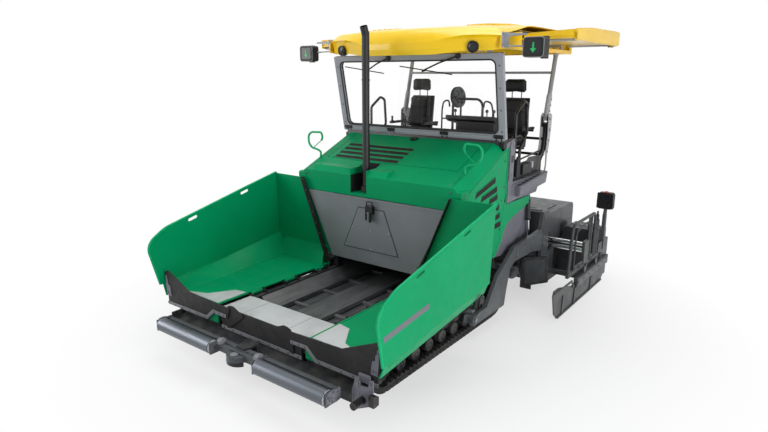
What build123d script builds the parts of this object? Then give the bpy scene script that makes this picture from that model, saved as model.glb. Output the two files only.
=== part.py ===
"""Tracked asphalt paver: hopper with folding wings, slat conveyor, engine hood,
operator's platform under a folding roof, augers and an extending screed on tow arms.

Frame: +X is the machine's left, the front is at -Y, +Z is up and the ground is Z = 0.
"""
import os
from math import atan2, cos, degrees, pi, radians, sin

from build123d import *

# ------------------------------------------------------------ driving dimensions (mm)
# Lengths from the front of the push rollers to the rear of the screed hood
HOPPER_FRONT = 230        # push rollers to the foremost point of the hopper wings
HOPPER_LENGTH = 2020      # wings' foremost point to the hopper's back wall
HOOD_LENGTH = 990         # back wall to the foot of the windshield
PLATFORM_LENGTH = 1380    # foot of the windshield to the rear edge of the platform
AUGER_SPACE = 270         # rear edge of the platform to the front of the screed
SCREED_DEPTH = 1030       # front of the screed to its rear edge
OVERALL_LENGTH = (HOPPER_FRONT + HOPPER_LENGTH + HOOD_LENGTH
                  + PLATFORM_LENGTH + AUGER_SPACE + SCREED_DEPTH)
# Stations along the machine
Y_FRONT = -OVERALL_LENGTH / 2
Y_WING = Y_FRONT + HOPPER_FRONT
Y_WALL = Y_WING + HOPPER_LENGTH
Y_SHIELD = Y_WALL + HOOD_LENGTH
Y_DECK_END = Y_SHIELD + PLATFORM_LENGTH
Y_SCREED = Y_DECK_END + AUGER_SPACE
Y_REAR = Y_SCREED + SCREED_DEPTH
# Half widths
HOPPER_HALF = 1640        # outer face of a wing
BODY_HALF = 1243          # outer face of the hood and its side doors
DECK_HALF = 1250          # platform, screed body and hood
FRAME_HALF = 650          # outer face of the chassis side beams
ARM_INNER = 1275          # inner face of a tow arm
GATE_INNER = 1864         # inner face of an end gate at the rest position
TRACK_OUTER = 1185
TRACK_WIDTH = 305
# Heights
WING_FLOOR_Z = 645
HOOD_FRONT_Z = 1850
HOOD_REAR_Z = 2275
DECK_Z = 1765
# Clearances
GAP = 6                   # between moving pieces
SEAT = 0.3                # between pieces that rest on each other
PIN_FIT = 0.1             # radial, between a pin and its bore
SKIN = 8                  # sheet of the hood and its doors
PLATE = 12                # plate of hopper, sill and conveyor

# ------------------------------------------------------------ tracks
TRACK_THICK = 68
IDLER_R = 262             # outer radius of the loop at the front idler
SPROCKET_R = 315          # outer radius of the loop at the rear sprocket
Y_IDLER = Y_WALL - 1280
Y_SPROCKET = Y_SHIELD + 58
SHOE_PITCH = 160
SHOE_GAP = 14
SHOE_DEPTH = 24
# ------------------------------------------------------------ hopper
HINGE_X = 680
HINGE_Z = 622
HINGE_PIN_R = 12
SLEEVE_R = 22
WING_TOP_Z = 1755
WALL_FOOT_Z = 751
WALL_TOP_Z = 1586
WALL_FOOT_HALF = 614
WALL_TOP_HALF = 1015
WING_BACK_Y = Y_WALL - 42  # front face of a wing's rear panel
APRON_THICK = 14
# ------------------------------------------------------------ conveyor
BED_Z = 405
BED_PLATE = 12
DIVIDER_HALF = 184
CHANNEL_HALF = 430        # outer edge of a slat channel
FLIGHT_PITCH = 490
FLIGHT_COUNT = 7
# ------------------------------------------------------------ push rollers
ROLLER_R = 75
ROLLER_Z = 381
ROLLER_INNER = 345
ROLLER_OUTER = 1222
SWING_X_CLEAR = 75        # room for the bar's swing
BAR_GAP = 5               # rollers to the bar behind them
BAR_DEPTH = 50
# ------------------------------------------------------------ windshield and roof
SHIELD_HEIGHT = 1065
SHIELD_LEAN = 11.4        # degrees, top towards the front
SHIELD_FOOT_Z = 2290
SHIELD_THICK = 50
REAR_HINGE_Y = Y_DECK_END + 17
REAR_HINGE_Z = 2478
REAR_TOP_Y = Y_DECK_END + 241
ROOF_RISE = 11            # roof's lower rim above its front pivots
ROOF_Z = round(SHIELD_FOOT_Z + SHIELD_HEIGHT * cos(radians(SHIELD_LEAN))) + ROOF_RISE
REAR_TOP_Z = ROOF_Z + 55
POST_X = 1190
POST_R = 30
# ------------------------------------------------------------ screed
TOW_Y = Y_WALL + 286
TOW_Z = 246
ARM_THICK = 50
AUGER_Y = Y_SCREED - 362
AUGER_Z = 300
AUGER_R = 200
AUGER_FRONT_GAP = 18      # augers to the rear ends of the frame's side beams
AUGER_TOP_GAP = 30        # augers to their carrier above
ROD_Y = Y_SCREED - 72
ROD_Z = (640, 730)
ROD_R = 30
EXT_FRONT = Y_SCREED + 498
EXT_REAR = Y_SCREED + 968
FRAME_X = 1812            # inner face of an extension's end frame


# ------------------------------------------------------------ helpers
def outline(plane, points):
    """Closed polygon through points given in the plane's own two directions."""
    with BuildSketch(plane) as sketch:
        with BuildLine():
            Polyline(*points, close=True)
        make_face()
    return sketch.sketch


def side_plate(x_from, x_to, points, mode=Mode.ADD):
    """Plate with a (y, z) outline between two x planes."""
    extrude(outline(Plane.YZ.offset(x_from), points), amount=x_to - x_from, mode=mode)


def cross_plate(y_from, y_to, points, mode=Mode.ADD):
    """Plate with an (x, z) outline between two y planes."""
    extrude(outline(Plane.XZ.offset(-y_to), points), amount=y_to - y_from, mode=mode)


def flat_plate(z_from, z_to, points, mode=Mode.ADD):
    """Plate with an (x, y) outline between two heights."""
    extrude(outline(Plane.XY.offset(z_from), points), amount=z_to - z_from, mode=mode)


def block(x, y, z, mode=Mode.ADD):
    """Box between pairs of limits in x, y and z."""
    middle = [(a + b) / 2 for a, b in (x, y, z)]
    with Locations(tuple(middle)):
        Box(x[1] - x[0], y[1] - y[0], z[1] - z[0], mode=mode)


def round_x(x, y, z, radius, mode=Mode.ADD):
    """Round bar along X between two x limits."""
    with Locations(((x[0] + x[1]) / 2, y, z)):
        Cylinder(radius, x[1] - x[0], rotation=(0, 90, 0), mode=mode)


def round_y(x, y, z, radius, mode=Mode.ADD):
    """Round bar along Y between two y limits."""
    with Locations((x, (y[0] + y[1]) / 2, z)):
        Cylinder(radius, y[1] - y[0], rotation=(90, 0, 0), mode=mode)


def round_z(x, y, z, radius, mode=Mode.ADD):
    """Round bar along Z between two z limits."""
    with Locations((x, y, (z[0] + z[1]) / 2)):
        Cylinder(radius, z[1] - z[0], mode=mode)


def pipe(points, radius, bend):
    """Bent round tube along straight runs joined by arcs."""
    with BuildLine() as route:
        FilletPolyline(*points, radius=bend)
    path = route.line
    with BuildSketch(Plane(origin=path @ 0, z_dir=path % 0)) as section:
        Circle(radius)
    sweep(section.sketch, path=path)


def write_pair(stem, left):
    """Write a left piece and its mirror image as the right piece."""
    for side, piece in (("left", left), ("right", left.mirror(Plane.YZ))):
        piece.label = f"{stem}_{side}"
        export_step(piece, f"parts/{stem}_{side}.step")


os.makedirs("parts", exist_ok=True)

# ------------------------------------------------------------ track loops
def loop_outline(inset):
    """Face of the track's side outline, drawn in by inset."""
    with BuildSketch(Plane.YZ.offset(TRACK_OUTER - TRACK_WIDTH)) as sketch:
        with BuildSketch(mode=Mode.PRIVATE) as wheels:
            with Locations((Y_IDLER, IDLER_R)):
                Circle(IDLER_R - inset)
            with Locations((Y_SPROCKET, SPROCKET_R)):
                Circle(SPROCKET_R - inset)
        make_hull(wheels.sketch.edges())
    return sketch.sketch


TRACK_RUN = Y_SPROCKET - Y_IDLER
TOP_SLOPE = degrees(atan2(2 * (SPROCKET_R - IDLER_R), TRACK_RUN))
with BuildPart() as track:
    extrude(loop_outline(0), amount=TRACK_WIDTH)
    extrude(loop_outline(TRACK_THICK), amount=TRACK_WIDTH, mode=Mode.SUBTRACT)
    # gaps between the shoes: along the ground, along the top run and round both ends
    shoe_x = TRACK_OUTER - TRACK_WIDTH / 2
    runs = int(TRACK_RUN // SHOE_PITCH)
    for run in range(runs + 1):
        along = Y_IDLER + (run + 0.5) * TRACK_RUN / (runs + 1)
        share = (along - Y_IDLER) / TRACK_RUN
        top = 2 * (IDLER_R + (SPROCKET_R - IDLER_R) * share)
        with Locations((shoe_x, along, 0)):
            Box(TRACK_WIDTH + 2, SHOE_GAP, 2 * SHOE_DEPTH, mode=Mode.SUBTRACT)
        with Locations(Location((shoe_x, along, top), (TOP_SLOPE, 0, 0))):
            Box(TRACK_WIDTH + 2, SHOE_GAP, 2 * SHOE_DEPTH, mode=Mode.SUBTRACT)
    # columns: centre y, outer radius, first angle from straight ahead (degrees)
    for centre_y, radius, first in ((Y_IDLER, IDLER_R, 180), (Y_SPROCKET, SPROCKET_R, 0)):
        steps = int(pi * radius // SHOE_PITCH)
        for step in range(steps + 1):
            angle = first - 90 + step * 180 / steps
            at_y = centre_y + radius * cos(radians(angle))
            at_z = radius + radius * sin(radians(angle))
            with Locations(Location((shoe_x, at_y, at_z), (angle, 0, 0))):
                Box(TRACK_WIDTH + 2, 2 * SHOE_DEPTH, SHOE_GAP, mode=Mode.SUBTRACT)
write_pair("track", track.part)

# ------------------------------------------------------------ running gear inside the loops
ROLLER_COUNT = 7
LOWER_ROLLER_R = 78
with BuildPart() as gear:
    shaft_z = TRACK_THICK + SEAT + LOWER_ROLLER_R
    inner_x = TRACK_OUTER - TRACK_WIDTH
    block((inner_x + 80, inner_x + 225), (Y_IDLER, Y_SPROCKET), (shaft_z - 20, shaft_z + 170))
    round_x((inner_x + 60, inner_x + 245), Y_IDLER, IDLER_R, IDLER_R - TRACK_THICK - SEAT)
    round_x((inner_x + 60, inner_x + 245), Y_SPROCKET, SPROCKET_R, SPROCKET_R - TRACK_THICK - SEAT)
    round_x((inner_x + 20, inner_x + 300), Y_SPROCKET, SPROCKET_R, 120)
    round_x((inner_x + 20, inner_x + 292), Y_IDLER, IDLER_R, 70)
    for number in range(ROLLER_COUNT):
        roller_y = Y_IDLER + 330 + number * (TRACK_RUN - 700) / (ROLLER_COUNT - 1)
        round_x((inner_x + 60, inner_x + 245), roller_y, shaft_z, LOWER_ROLLER_R)
    for beam_y in (Y_IDLER + 520, Y_SPROCKET - 560):
        block((FRAME_HALF, inner_x + 100), (beam_y - 90, beam_y + 90), (shaft_z + 20, shaft_z + 150))
    round_x((FRAME_HALF, inner_x + 40), Y_SPROCKET, SPROCKET_R, 150)
    mirror(about=Plane.YZ)
gear.part.label = "running_gear"
export_step(gear.part, "parts/running_gear.step")

# ------------------------------------------------------------ chassis frame
BEAM_FRONT = Y_WING + 193
BEAM_REAR = AUGER_Y - AUGER_R - AUGER_FRONT_GAP
BEAM_INNER = FRAME_HALF - 60
TUNNEL_TOP = 760
LASHING_R = 26
HINGE_SPANS = (Y_WING + 720, Y_WING + 1240, Y_WING + 1760)
SLEEVE_LENGTH = 160
WING_RAM_Y = Y_WING + 350
WING_RAM_FOOT = (700, 330)
TOW_POST_X = (1212, 1262)
TOW_POST_Y = (Y_WALL + 388, Y_WALL + 488)
with BuildPart() as frame:
    block((BEAM_INNER, FRAME_HALF), (BEAM_FRONT, BEAM_REAR), (250, 600))
    block((BEAM_INNER, FRAME_HALF), (Y_WALL + 14, BEAM_REAR), (590, TUNNEL_TOP))
    # hinge lugs and pins of the wings
    for hinge_y in HINGE_SPANS:
        for end in (-1, 1):
            lug_y = hinge_y + end * (SLEEVE_LENGTH / 2 + GAP + 8)
            block((BEAM_INNER + 20, HINGE_X + 20), (lug_y - 8, lug_y + 8), (540, HINGE_Z + 12))
        reach = SLEEVE_LENGTH / 2 + GAP + 16
        round_y(HINGE_X, (hinge_y - reach, hinge_y + reach), HINGE_Z, HINGE_PIN_R)
    # feet of the wing cylinders
    foot_x, foot_z = WING_RAM_FOOT
    for end in (-1, 1):
        lug_y = WING_RAM_Y + end * 34
        block((FRAME_HALF - 5, foot_x + 30), (lug_y - 8, lug_y + 8), (foot_z - 40, foot_z + 40))
    round_y(foot_x, (WING_RAM_Y - 42, WING_RAM_Y + 42), foot_z, 16)
    # outrigger and guide post of the tow point
    block((FRAME_HALF - 5, TOW_POST_X[1]), TOW_POST_Y, (690, 780))
    block(TOW_POST_X, TOW_POST_Y, (128, 780))
    # brackets behind the sprocket that carry the tank and the lift cylinders
    block((FRAME_HALF - 5, 1150), (Y_DECK_END - 520, Y_DECK_END - 400), (690, 790))
    # lashing eyes: upright ones under the front of the side beams, flat ones beside their rear
    eye_y = BEAM_FRONT + 260
    side_plate(FRAME_HALF - 36, FRAME_HALF - 20,
               ((eye_y - 70, 251), (eye_y - 40, 165), (eye_y + 40, 165), (eye_y + 70, 251)))
    round_x((FRAME_HALF - 40, FRAME_HALF - 16), eye_y, 208, LASHING_R, mode=Mode.SUBTRACT)
    eye_y = BEAM_REAR - 180
    flat_plate(252, 268,
               ((FRAME_HALF - 5, eye_y - 80), (FRAME_HALF + 62, eye_y - 44), (FRAME_HALF + 88, eye_y),
                (FRAME_HALF + 62, eye_y + 44), (FRAME_HALF - 5, eye_y + 80)))
    round_z(FRAME_HALF + 42, eye_y, (248, 272), LASHING_R, mode=Mode.SUBTRACT)
    mirror(about=Plane.YZ)
    for cross_y in (BEAM_FRONT + 60, Y_WING + 1000, Y_WALL + 300, Y_SHIELD + 400, BEAM_REAR - 70):
        block((-BEAM_INNER - 5, BEAM_INNER + 5), (cross_y - 60, cross_y + 60), (250, BED_Z - SEAT))
    block((-FRAME_HALF, FRAME_HALF), (Y_WALL + 14, BEAM_REAR), (TUNNEL_TOP, TUNNEL_TOP + PLATE))
    block((-FRAME_HALF, FRAME_HALF), (BEAM_FRONT - PLATE, BEAM_FRONT), (250, 575))
    # the cross members and the tunnel's roof sit between the side beams
    for side in (-1, 1):
        block(sorted((side * (BEAM_INNER - SEAT), side * BEAM_INNER)),
              (BEAM_FRONT - PLATE - 1, BEAM_REAR + 1), (249, TUNNEL_TOP + PLATE + 1), mode=Mode.SUBTRACT)
frame.part.label = "main_frame"
export_step(frame.part, "parts/main_frame.step")

# ------------------------------------------------------------ engine and rear body
with BuildPart() as engine:
    block((-520, 520), (Y_WALL + 330, Y_SHIELD - 80), (TUNNEL_TOP + PLATE + SEAT, 1700))
engine.part.label = "engine_block"
export_step(engine.part, "parts/engine_block.step")

TANK_HALF = 1150
TANK_FRONT = Y_SHIELD + 10
TANK_REAR = Y_DECK_END - 260
LIFT_FOOT = (Y_SHIELD + 934, 1440)
LIFT_X = TANK_HALF + 50
with BuildPart() as tank:
    side_plate(-TANK_HALF, TANK_HALF,
               ((TANK_FRONT, 790 + SEAT), (TANK_REAR, 790 + SEAT),
                (TANK_REAR, DECK_Z - 16 - SEAT), (TANK_FRONT, DECK_Z - 16 - SEAT)))
tank.part.label = "rear_tank"
export_step(tank.part, "parts/rear_tank.step")

# ------------------------------------------------------------ conveyor
BED_END = BEAM_REAR + 10
SILL_REAR = Y_WING + 636
with BuildPart() as bed:
    bed_top = BED_Z + BED_PLATE
    block((-BEAM_INNER + 2, BEAM_INNER - 2), (SILL_REAR + 20, BED_END), (BED_Z, bed_top))
    cross_plate(SILL_REAR + 80, BED_END,
                ((-DIVIDER_HALF - 12, bed_top - 1), (-DIVIDER_HALF, bed_top + 45),
                 (DIVIDER_HALF, bed_top + 45), (DIVIDER_HALF + 12, bed_top - 1)))
    for side in (-1, 1):
        cross_plate(SILL_REAR + 80, BED_END,
                    ((side * CHANNEL_HALF, bed_top - 1), (side * CHANNEL_HALF, bed_top + 45),
                     (side * (BEAM_INNER - 2), bed_top + 170), (side * (BEAM_INNER - 2), bed_top + 158),
                     (side * (CHANNEL_HALF + 14), bed_top + 33), (side * (CHANNEL_HALF + 14), bed_top - 1)))
bed.part.label = "conveyor_bed"
export_step(bed.part, "parts/conveyor_bed.step")

with BuildPart() as flights:
    for number in range(FLIGHT_COUNT):
        flight_y = Y_WING + 600 + 490 + number * FLIGHT_PITCH
        for side in (-1, 1):
            x_limits = sorted((side * (DIVIDER_HALF + 14), side * (CHANNEL_HALF - 2)))
            block(x_limits, (flight_y - 25, flight_y + 25), (bed_top + SEAT, bed_top + 28))
flights.part.label = "conveyor_flights"
export_step(flights.part, "parts/conveyor_flights.step")

# ------------------------------------------------------------ hopper back wall
OVERLAP = 42              # the wall runs on behind the wings' rear panels
with BuildPart() as wall:
    low, high = WALL_FOOT_HALF + OVERLAP, WALL_TOP_HALF + OVERLAP
    cross_plate(Y_WALL - 14, Y_WALL,
                ((-low, WALL_FOOT_Z), (low, WALL_FOOT_Z), (high, WALL_TOP_Z), (-high, WALL_TOP_Z)))
    block((-WALL_FOOT_HALF, WALL_FOOT_HALF), (Y_WALL - 1, Y_WALL + 14 - SEAT), (WALL_FOOT_Z, 790))
    # bolted service hatch and its latch
    cross_plate(Y_WALL - 19, Y_WALL - 13, ((-445, 925), (410, 925), (190, 1462), (-205, 1462)))
    block((-45, 45), (Y_WALL - 70, Y_WALL - 15), (1415, 1500))
    block((-22, 22), (Y_WALL - 82, Y_WALL - 20), (1330, 1430))
wall.part.label = "hopper_wall"
export_step(wall.part, "parts/hopper_wall.step")

# ------------------------------------------------------------ hopper sill and centre apron
with BuildPart() as sill:
    sill_half = FRAME_HALF + 4
    block((-sill_half, sill_half), (BEAM_FRONT - PLATE, SILL_REAR - 20), (600 + SEAT, 600 + PLATE))
    # stiffener between the side beams, and the fold down to the conveyor
    fold_half = BEAM_INNER - 2
    block((-fold_half, fold_half), (BEAM_FRONT + 2, SILL_REAR - 20), (575, 601))
    side_plate(-fold_half, fold_half,
               ((SILL_REAR - 21, 600 + PLATE), (SILL_REAR, 600), (SILL_REAR + 70, bed_top + 8),
                (SILL_REAR + 56, bed_top + 8), (SILL_REAR - 21, 585)))
    block((-sill_half, sill_half), (BEAM_FRONT - PLATE, BEAM_FRONT), (575 + SEAT, 601))
sill.part.label = "hopper_sill"
export_step(sill.part, "parts/hopper_sill.step")

APRON_Y = BEAM_FRONT - PLATE - SEAT
STRIP = 8                 # clamp strip of an apron
with BuildPart() as apron:
    cross_plate(APRON_Y - APRON_THICK, APRON_Y, ((-600, 404), (600, 404), (600, 650), (-600, 650)))
apron.part.label = "front_apron"
export_step(apron.part, "parts/front_apron.step")
with BuildPart() as strip:
    block((-600, 600), (APRON_Y - APRON_THICK - SEAT - STRIP, APRON_Y - APRON_THICK - SEAT), (404, 442))
strip.part.label = "apron_strip"
export_step(strip.part, "parts/apron_strip.step")

# ------------------------------------------------------------ front beam
BAR_REAR = Y_FRONT + 2 * ROLLER_R + BAR_GAP + BAR_DEPTH
BEAM_HALF = 1330
with BuildPart() as beam:
    side_plate(-BEAM_HALF, BEAM_HALF,
               ((BAR_REAR + SWING_X_CLEAR, 270), (APRON_Y, 250), (APRON_Y, 398),
                (BAR_REAR + SWING_X_CLEAR, 350)))
    for side in (-1, 1):
        x_limits = sorted((side * BEAM_HALF, side * (BEAM_HALF + 16)))
        side_plate(*x_limits, ((BAR_REAR + 60, 225), (APRON_Y + 20, 225), (APRON_Y + 20, 430),
                               (BAR_REAR + 60, 430)))
    # pivot lugs of the push bar
    for lug_z in ((310, 330), (432, 452)):
        flat_plate(*lug_z, ((-90, BAR_REAR + SWING_X_CLEAR + 30), (-60, BAR_REAR - 60), (60, BAR_REAR - 60),
                            (90, BAR_REAR + SWING_X_CLEAR + 30)))
    block((-90, 90), (BAR_REAR + SWING_X_CLEAR, BAR_REAR + SWING_X_CLEAR + 40), (310, 452))
    round_z(0, BAR_REAR - 20, (310, 452), 20)
beam.part.label = "front_beam"
export_step(beam.part, "parts/front_beam.step")

# ------------------------------------------------------------ push bar and rollers
ROLLER_Y = Y_FRONT + ROLLER_R
PIVOT_Y = BAR_REAR - 20
END_PLATE = 14
SHAFT_R = 20
with BuildPart() as push_bar:
    end_x = ROLLER_OUTER + 18 + END_PLATE
    block((-end_x, end_x), (BAR_REAR - BAR_DEPTH, BAR_REAR), (334, 428))
    for side in (-1, 1):
        for face in (ROLLER_INNER - 18 - END_PLATE, ROLLER_OUTER + 18):
            x_limits = sorted((side * face, side * (face + END_PLATE)))
            side_plate(*x_limits, ((ROLLER_Y - 55, 320), (BAR_REAR, 320), (BAR_REAR, 442),
                                   (ROLLER_Y - 55, 442)))
            round_x((x_limits[0] - 1, x_limits[1] + 1), ROLLER_Y, ROLLER_Z, SHAFT_R + PIN_FIT,
                    mode=Mode.SUBTRACT)
    # rounded tow head in the middle, with its upright pin bore
    nose_half = ROLLER_INNER - 18 - END_PLATE
    block((-nose_half - 1, nose_half + 1), (ROLLER_Y + 26, BAR_REAR - 40), (345, 417))
    round_z(0, Y_FRONT + 132, (345, 400), 126)
    block((-100, 100), (BAR_REAR - 60, BAR_REAR + 1), (334, 428))
    round_z(0, PIVOT_Y, (330 + SEAT, 432 - SEAT), 34)
    round_z(0, PIVOT_Y, (330, 432), 20 + PIN_FIT, mode=Mode.SUBTRACT)
    TOW_BORE_R = 22
    round_z(0, Y_FRONT + 70, (340, 405), TOW_BORE_R, mode=Mode.SUBTRACT)
push_bar.part.label = "push_bar"
export_step(push_bar.part, "parts/push_bar.step")

with BuildPart() as roller:
    round_x((ROLLER_INNER, ROLLER_OUTER), ROLLER_Y, ROLLER_Z, ROLLER_R)
    round_x((ROLLER_INNER - 30, ROLLER_OUTER + 30), ROLLER_Y, ROLLER_Z, SHAFT_R)
write_pair("push_roller", roller.part)

# ------------------------------------------------------------ hopper wings
LEAN = degrees(atan2(42, 1110))
WING_FRONT_FLOOR = BEAM_FRONT + 10
PANEL_FOOT_X = HOPPER_HALF - 40
RIM_SLOPE = 0.2436        # rise of the wing's upper edge towards the rear
with BuildPart() as wing:
    # floor, with the sleeves of its hinge along the inner edge
    flat_plate(WING_FLOOR_Z - PLATE, WING_FLOOR_Z,
               ((HINGE_X, WING_FRONT_FLOOR), (1320, WING_FRONT_FLOOR), (1452, WING_BACK_Y),
                (HINGE_X, WING_BACK_Y)))
    for hinge_y in HINGE_SPANS:
        round_y(HINGE_X, (hinge_y - SLEEVE_LENGTH / 2, hinge_y + SLEEVE_LENGTH / 2), HINGE_Z, SLEEVE_R)
    # outer chamfer, growing from nothing at the front to a high facet at the rear
    with BuildSketch(Plane.XZ.offset(-WING_FRONT_FLOOR)) as front_facet:
        with BuildLine():
            Polyline((1300, 633), (HOPPER_HALF - 30, 640), (HOPPER_HALF - 30, 652), (1300, 645), close=True)
        make_face()
    with BuildSketch(Plane.XZ.offset(-WING_BACK_Y)) as rear_facet:
        with BuildLine():
            Polyline((1430, 633), (HOPPER_HALF - 8, 912), (HOPPER_HALF - 8, 928), (1430, 648), close=True)
        make_face()
    loft(ruled=True)
    # outer panel, leaning out, with a bevelled band along its foot
    panel = Plane(origin=(PANEL_FOOT_X, 0, 0), x_dir=(0, 1, 0),
                  z_dir=(cos(radians(LEAN)), 0, -sin(radians(LEAN))))
    side_outline = outline(panel, (
        (Y_WING + 95, 680), (Y_WING - 3, 1102), (Y_WING + 10, 1170), (Y_WING + 60, 1230),
        (Y_WING + 231, 1331), (Y_WING + 929, 1501), (Y_WING + 1444, 1627), (WING_BACK_Y + 20, WING_TOP_Z),
        (WING_BACK_Y + 20, 866), (Y_WING + 125, 680)))
    extrude(side_outline, amount=-PLATE)
    # two hand slots under the upper rim
    for slot_y in (Y_WING + 607, Y_WING + 1413):
        slot_z = 1331 + (slot_y - Y_WING - 231) * RIM_SLOPE - 48
        with BuildSketch(panel) as slot:
            with Locations((slot_y, slot_z)):
                SlotOverall(134, 36, rotation=degrees(atan2(RIM_SLOPE, 1)))
        extrude(amount=PLATE + 4, both=True, mode=Mode.SUBTRACT)
    rim = outline(panel, ((Y_WING + 80, 1228), (Y_WING + 231, 1309), (Y_WING + 929, 1479),
                          (Y_WING + 1444, 1605), (WING_BACK_Y + 20, 1731), (WING_BACK_Y + 20, WING_TOP_Z),
                          (Y_WING + 1444, 1627), (Y_WING + 929, 1501), (Y_WING + 231, 1331),
                          (Y_WING + 72, 1242)))
    extrude(rim, amount=14)
    band_low, band_high = HOPPER_HALF - 66, HOPPER_HALF - 14
    with BuildSketch(Plane.XZ.offset(-(Y_WING + 125))) as band_front:
        with BuildLine():
            Polyline((band_low, 552), (band_high, 690), (band_high - 12, 690), (band_low - 14, 552),
                     close=True)
        make_face()
    with BuildSketch(Plane.XZ.offset(-(WING_BACK_Y + 20))) as band_rear:
        with BuildLine():
            Polyline((band_low, 742), (band_high, 880), (band_high - 12, 880), (band_low - 14, 742),
                     close=True)
        make_face()
    loft(ruled=True)
    # rear panel and the facet between it and the floor
    cross_plate(WING_BACK_Y, WING_BACK_Y + PLATE,
                ((HINGE_X + 6, WING_FLOOR_Z - PLATE), (1430, WING_FLOOR_Z - PLATE), (HOPPER_HALF - 20, 880),
                 (HOPPER_HALF + 2, WING_TOP_Z - 8), (1139, WING_TOP_Z - 12)))
    side_plate(HINGE_X + 12, HOPPER_HALF - 120,
               ((WING_BACK_Y - 150, WING_FLOOR_Z - 1), (WING_BACK_Y + 1, 868), (WING_BACK_Y + 1, 854),
                (WING_BACK_Y - 138, WING_FLOOR_Z - 1)))
    edge_slope = (1139 - HINGE_X - 6) / (WING_TOP_Z - 12 - WING_FLOOR_Z + PLATE)
    cross_plate(WING_BACK_Y - 200, WING_BACK_Y - 1,
                ((HINGE_X + 6, WING_FLOOR_Z), (HINGE_X + 6 + edge_slope * 300, WING_FLOOR_Z + 300 - PLATE),
                 (HINGE_X, WING_FLOOR_Z + 300)), mode=Mode.SUBTRACT)
    # front beam of the wing, which carries its apron
    block((HINGE_X + 20, HOPPER_HALF - 70), (WING_FRONT_FLOOR - 24, WING_FRONT_FLOOR + 6),
          (560, WING_FLOOR_Z))
    # lug of the wing cylinder
    side_eye = (1330, 560)
    cross_plate(WING_RAM_Y + 26, WING_RAM_Y + 40,
                ((side_eye[0] - 60, WING_FLOOR_Z - 2), (side_eye[0] - 24, side_eye[1] - 24),
                 (side_eye[0] + 24, side_eye[1] - 24), (side_eye[0] + 60, WING_FLOOR_Z - 2)))
    for hinge_y in HINGE_SPANS:
        reach = SLEEVE_LENGTH / 2 + 2 * GAP + 18
        block((HINGE_X - 1, HINGE_X + 22), (hinge_y - reach, hinge_y - SLEEVE_LENGTH / 2),
              (600, WING_FLOOR_Z + 1), mode=Mode.SUBTRACT)
        block((HINGE_X - 1, HINGE_X + 22), (hinge_y + SLEEVE_LENGTH / 2, hinge_y + reach),
              (600, WING_FLOOR_Z + 1), mode=Mode.SUBTRACT)
        round_y(HINGE_X, (hinge_y - 90, hinge_y + 90), HINGE_Z, HINGE_PIN_R + PIN_FIT, mode=Mode.SUBTRACT)
write_pair("hopper_wing", wing.part)

WING_APRON_Y = WING_FRONT_FLOOR - 24 - SEAT
WING_APRON_FRONT = APRON_Y - 2 * APRON_THICK - STRIP - SEAT - GAP
with BuildPart() as wing_apron:
    cross_plate(WING_APRON_FRONT, WING_APRON_FRONT + APRON_THICK,
                ((470, 548), (700, 552), (820, 452), (HOPPER_HALF - 96, 448), (HOPPER_HALF - 92, 560),
                 (HOPPER_HALF - 54, 690), (HOPPER_HALF - 54, 830), (1520, 863), (1129, 690), (430, 668)))
    block((HINGE_X + 30, HOPPER_HALF - 80), (WING_APRON_FRONT + APRON_THICK, WING_APRON_Y), (580, 630))
write_pair("wing_apron", wing_apron.part)

# wing cylinders: barrel on the chassis, rod eye beside the wing's lug
ram_base = Vector(WING_RAM_FOOT[0], WING_RAM_Y, WING_RAM_FOOT[1])
ram_eye = Vector(side_eye[0], WING_RAM_Y, side_eye[1])
ram_axis = (ram_eye - ram_base).normalized()
ram_span = (ram_eye - ram_base).length
with BuildPart() as wing_barrel:
    round_y(ram_base.X, (WING_RAM_Y - 22, WING_RAM_Y + 22), ram_base.Z, 34)
    with BuildSketch(Plane(origin=ram_base + ram_axis * 18, z_dir=ram_axis)) as neck:
        Circle(21)
    extrude(amount=60)
    with BuildSketch(Plane(origin=ram_base + ram_axis * 70, z_dir=ram_axis)) as tube:
        Circle(38)
    extrude(amount=470)
    with BuildSketch(Plane(origin=ram_base + ram_axis * 110, z_dir=ram_axis)) as bore:
        Circle(20 + PIN_FIT)
    extrude(amount=440, mode=Mode.SUBTRACT)
    round_y(ram_base.X, (WING_RAM_Y - 23, WING_RAM_Y + 23), ram_base.Z, 16 + PIN_FIT, mode=Mode.SUBTRACT)
write_pair("wing_barrel", wing_barrel.part)
with BuildPart() as wing_rod:
    with BuildSketch(Plane(origin=ram_base + ram_axis * 150, z_dir=ram_axis)) as rod_end:
        Circle(20)
    extrude(amount=ram_span - 170)
    round_y(ram_eye.X, (WING_RAM_Y - 18, WING_RAM_Y + 18), ram_eye.Z, 28)
write_pair("wing_rod", wing_rod.part)

# ------------------------------------------------------------ hood and body sides
HOOD_SLOPE = (HOOD_REAR_Z - HOOD_FRONT_Z) / (HOOD_LENGTH - 16)
HOOD_Y = Y_WALL + 2


def hood_z(y):
    """Height of the hood's top skin at a place along the machine."""
    return HOOD_FRONT_Z + (y - HOOD_Y) * HOOD_SLOPE


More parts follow.
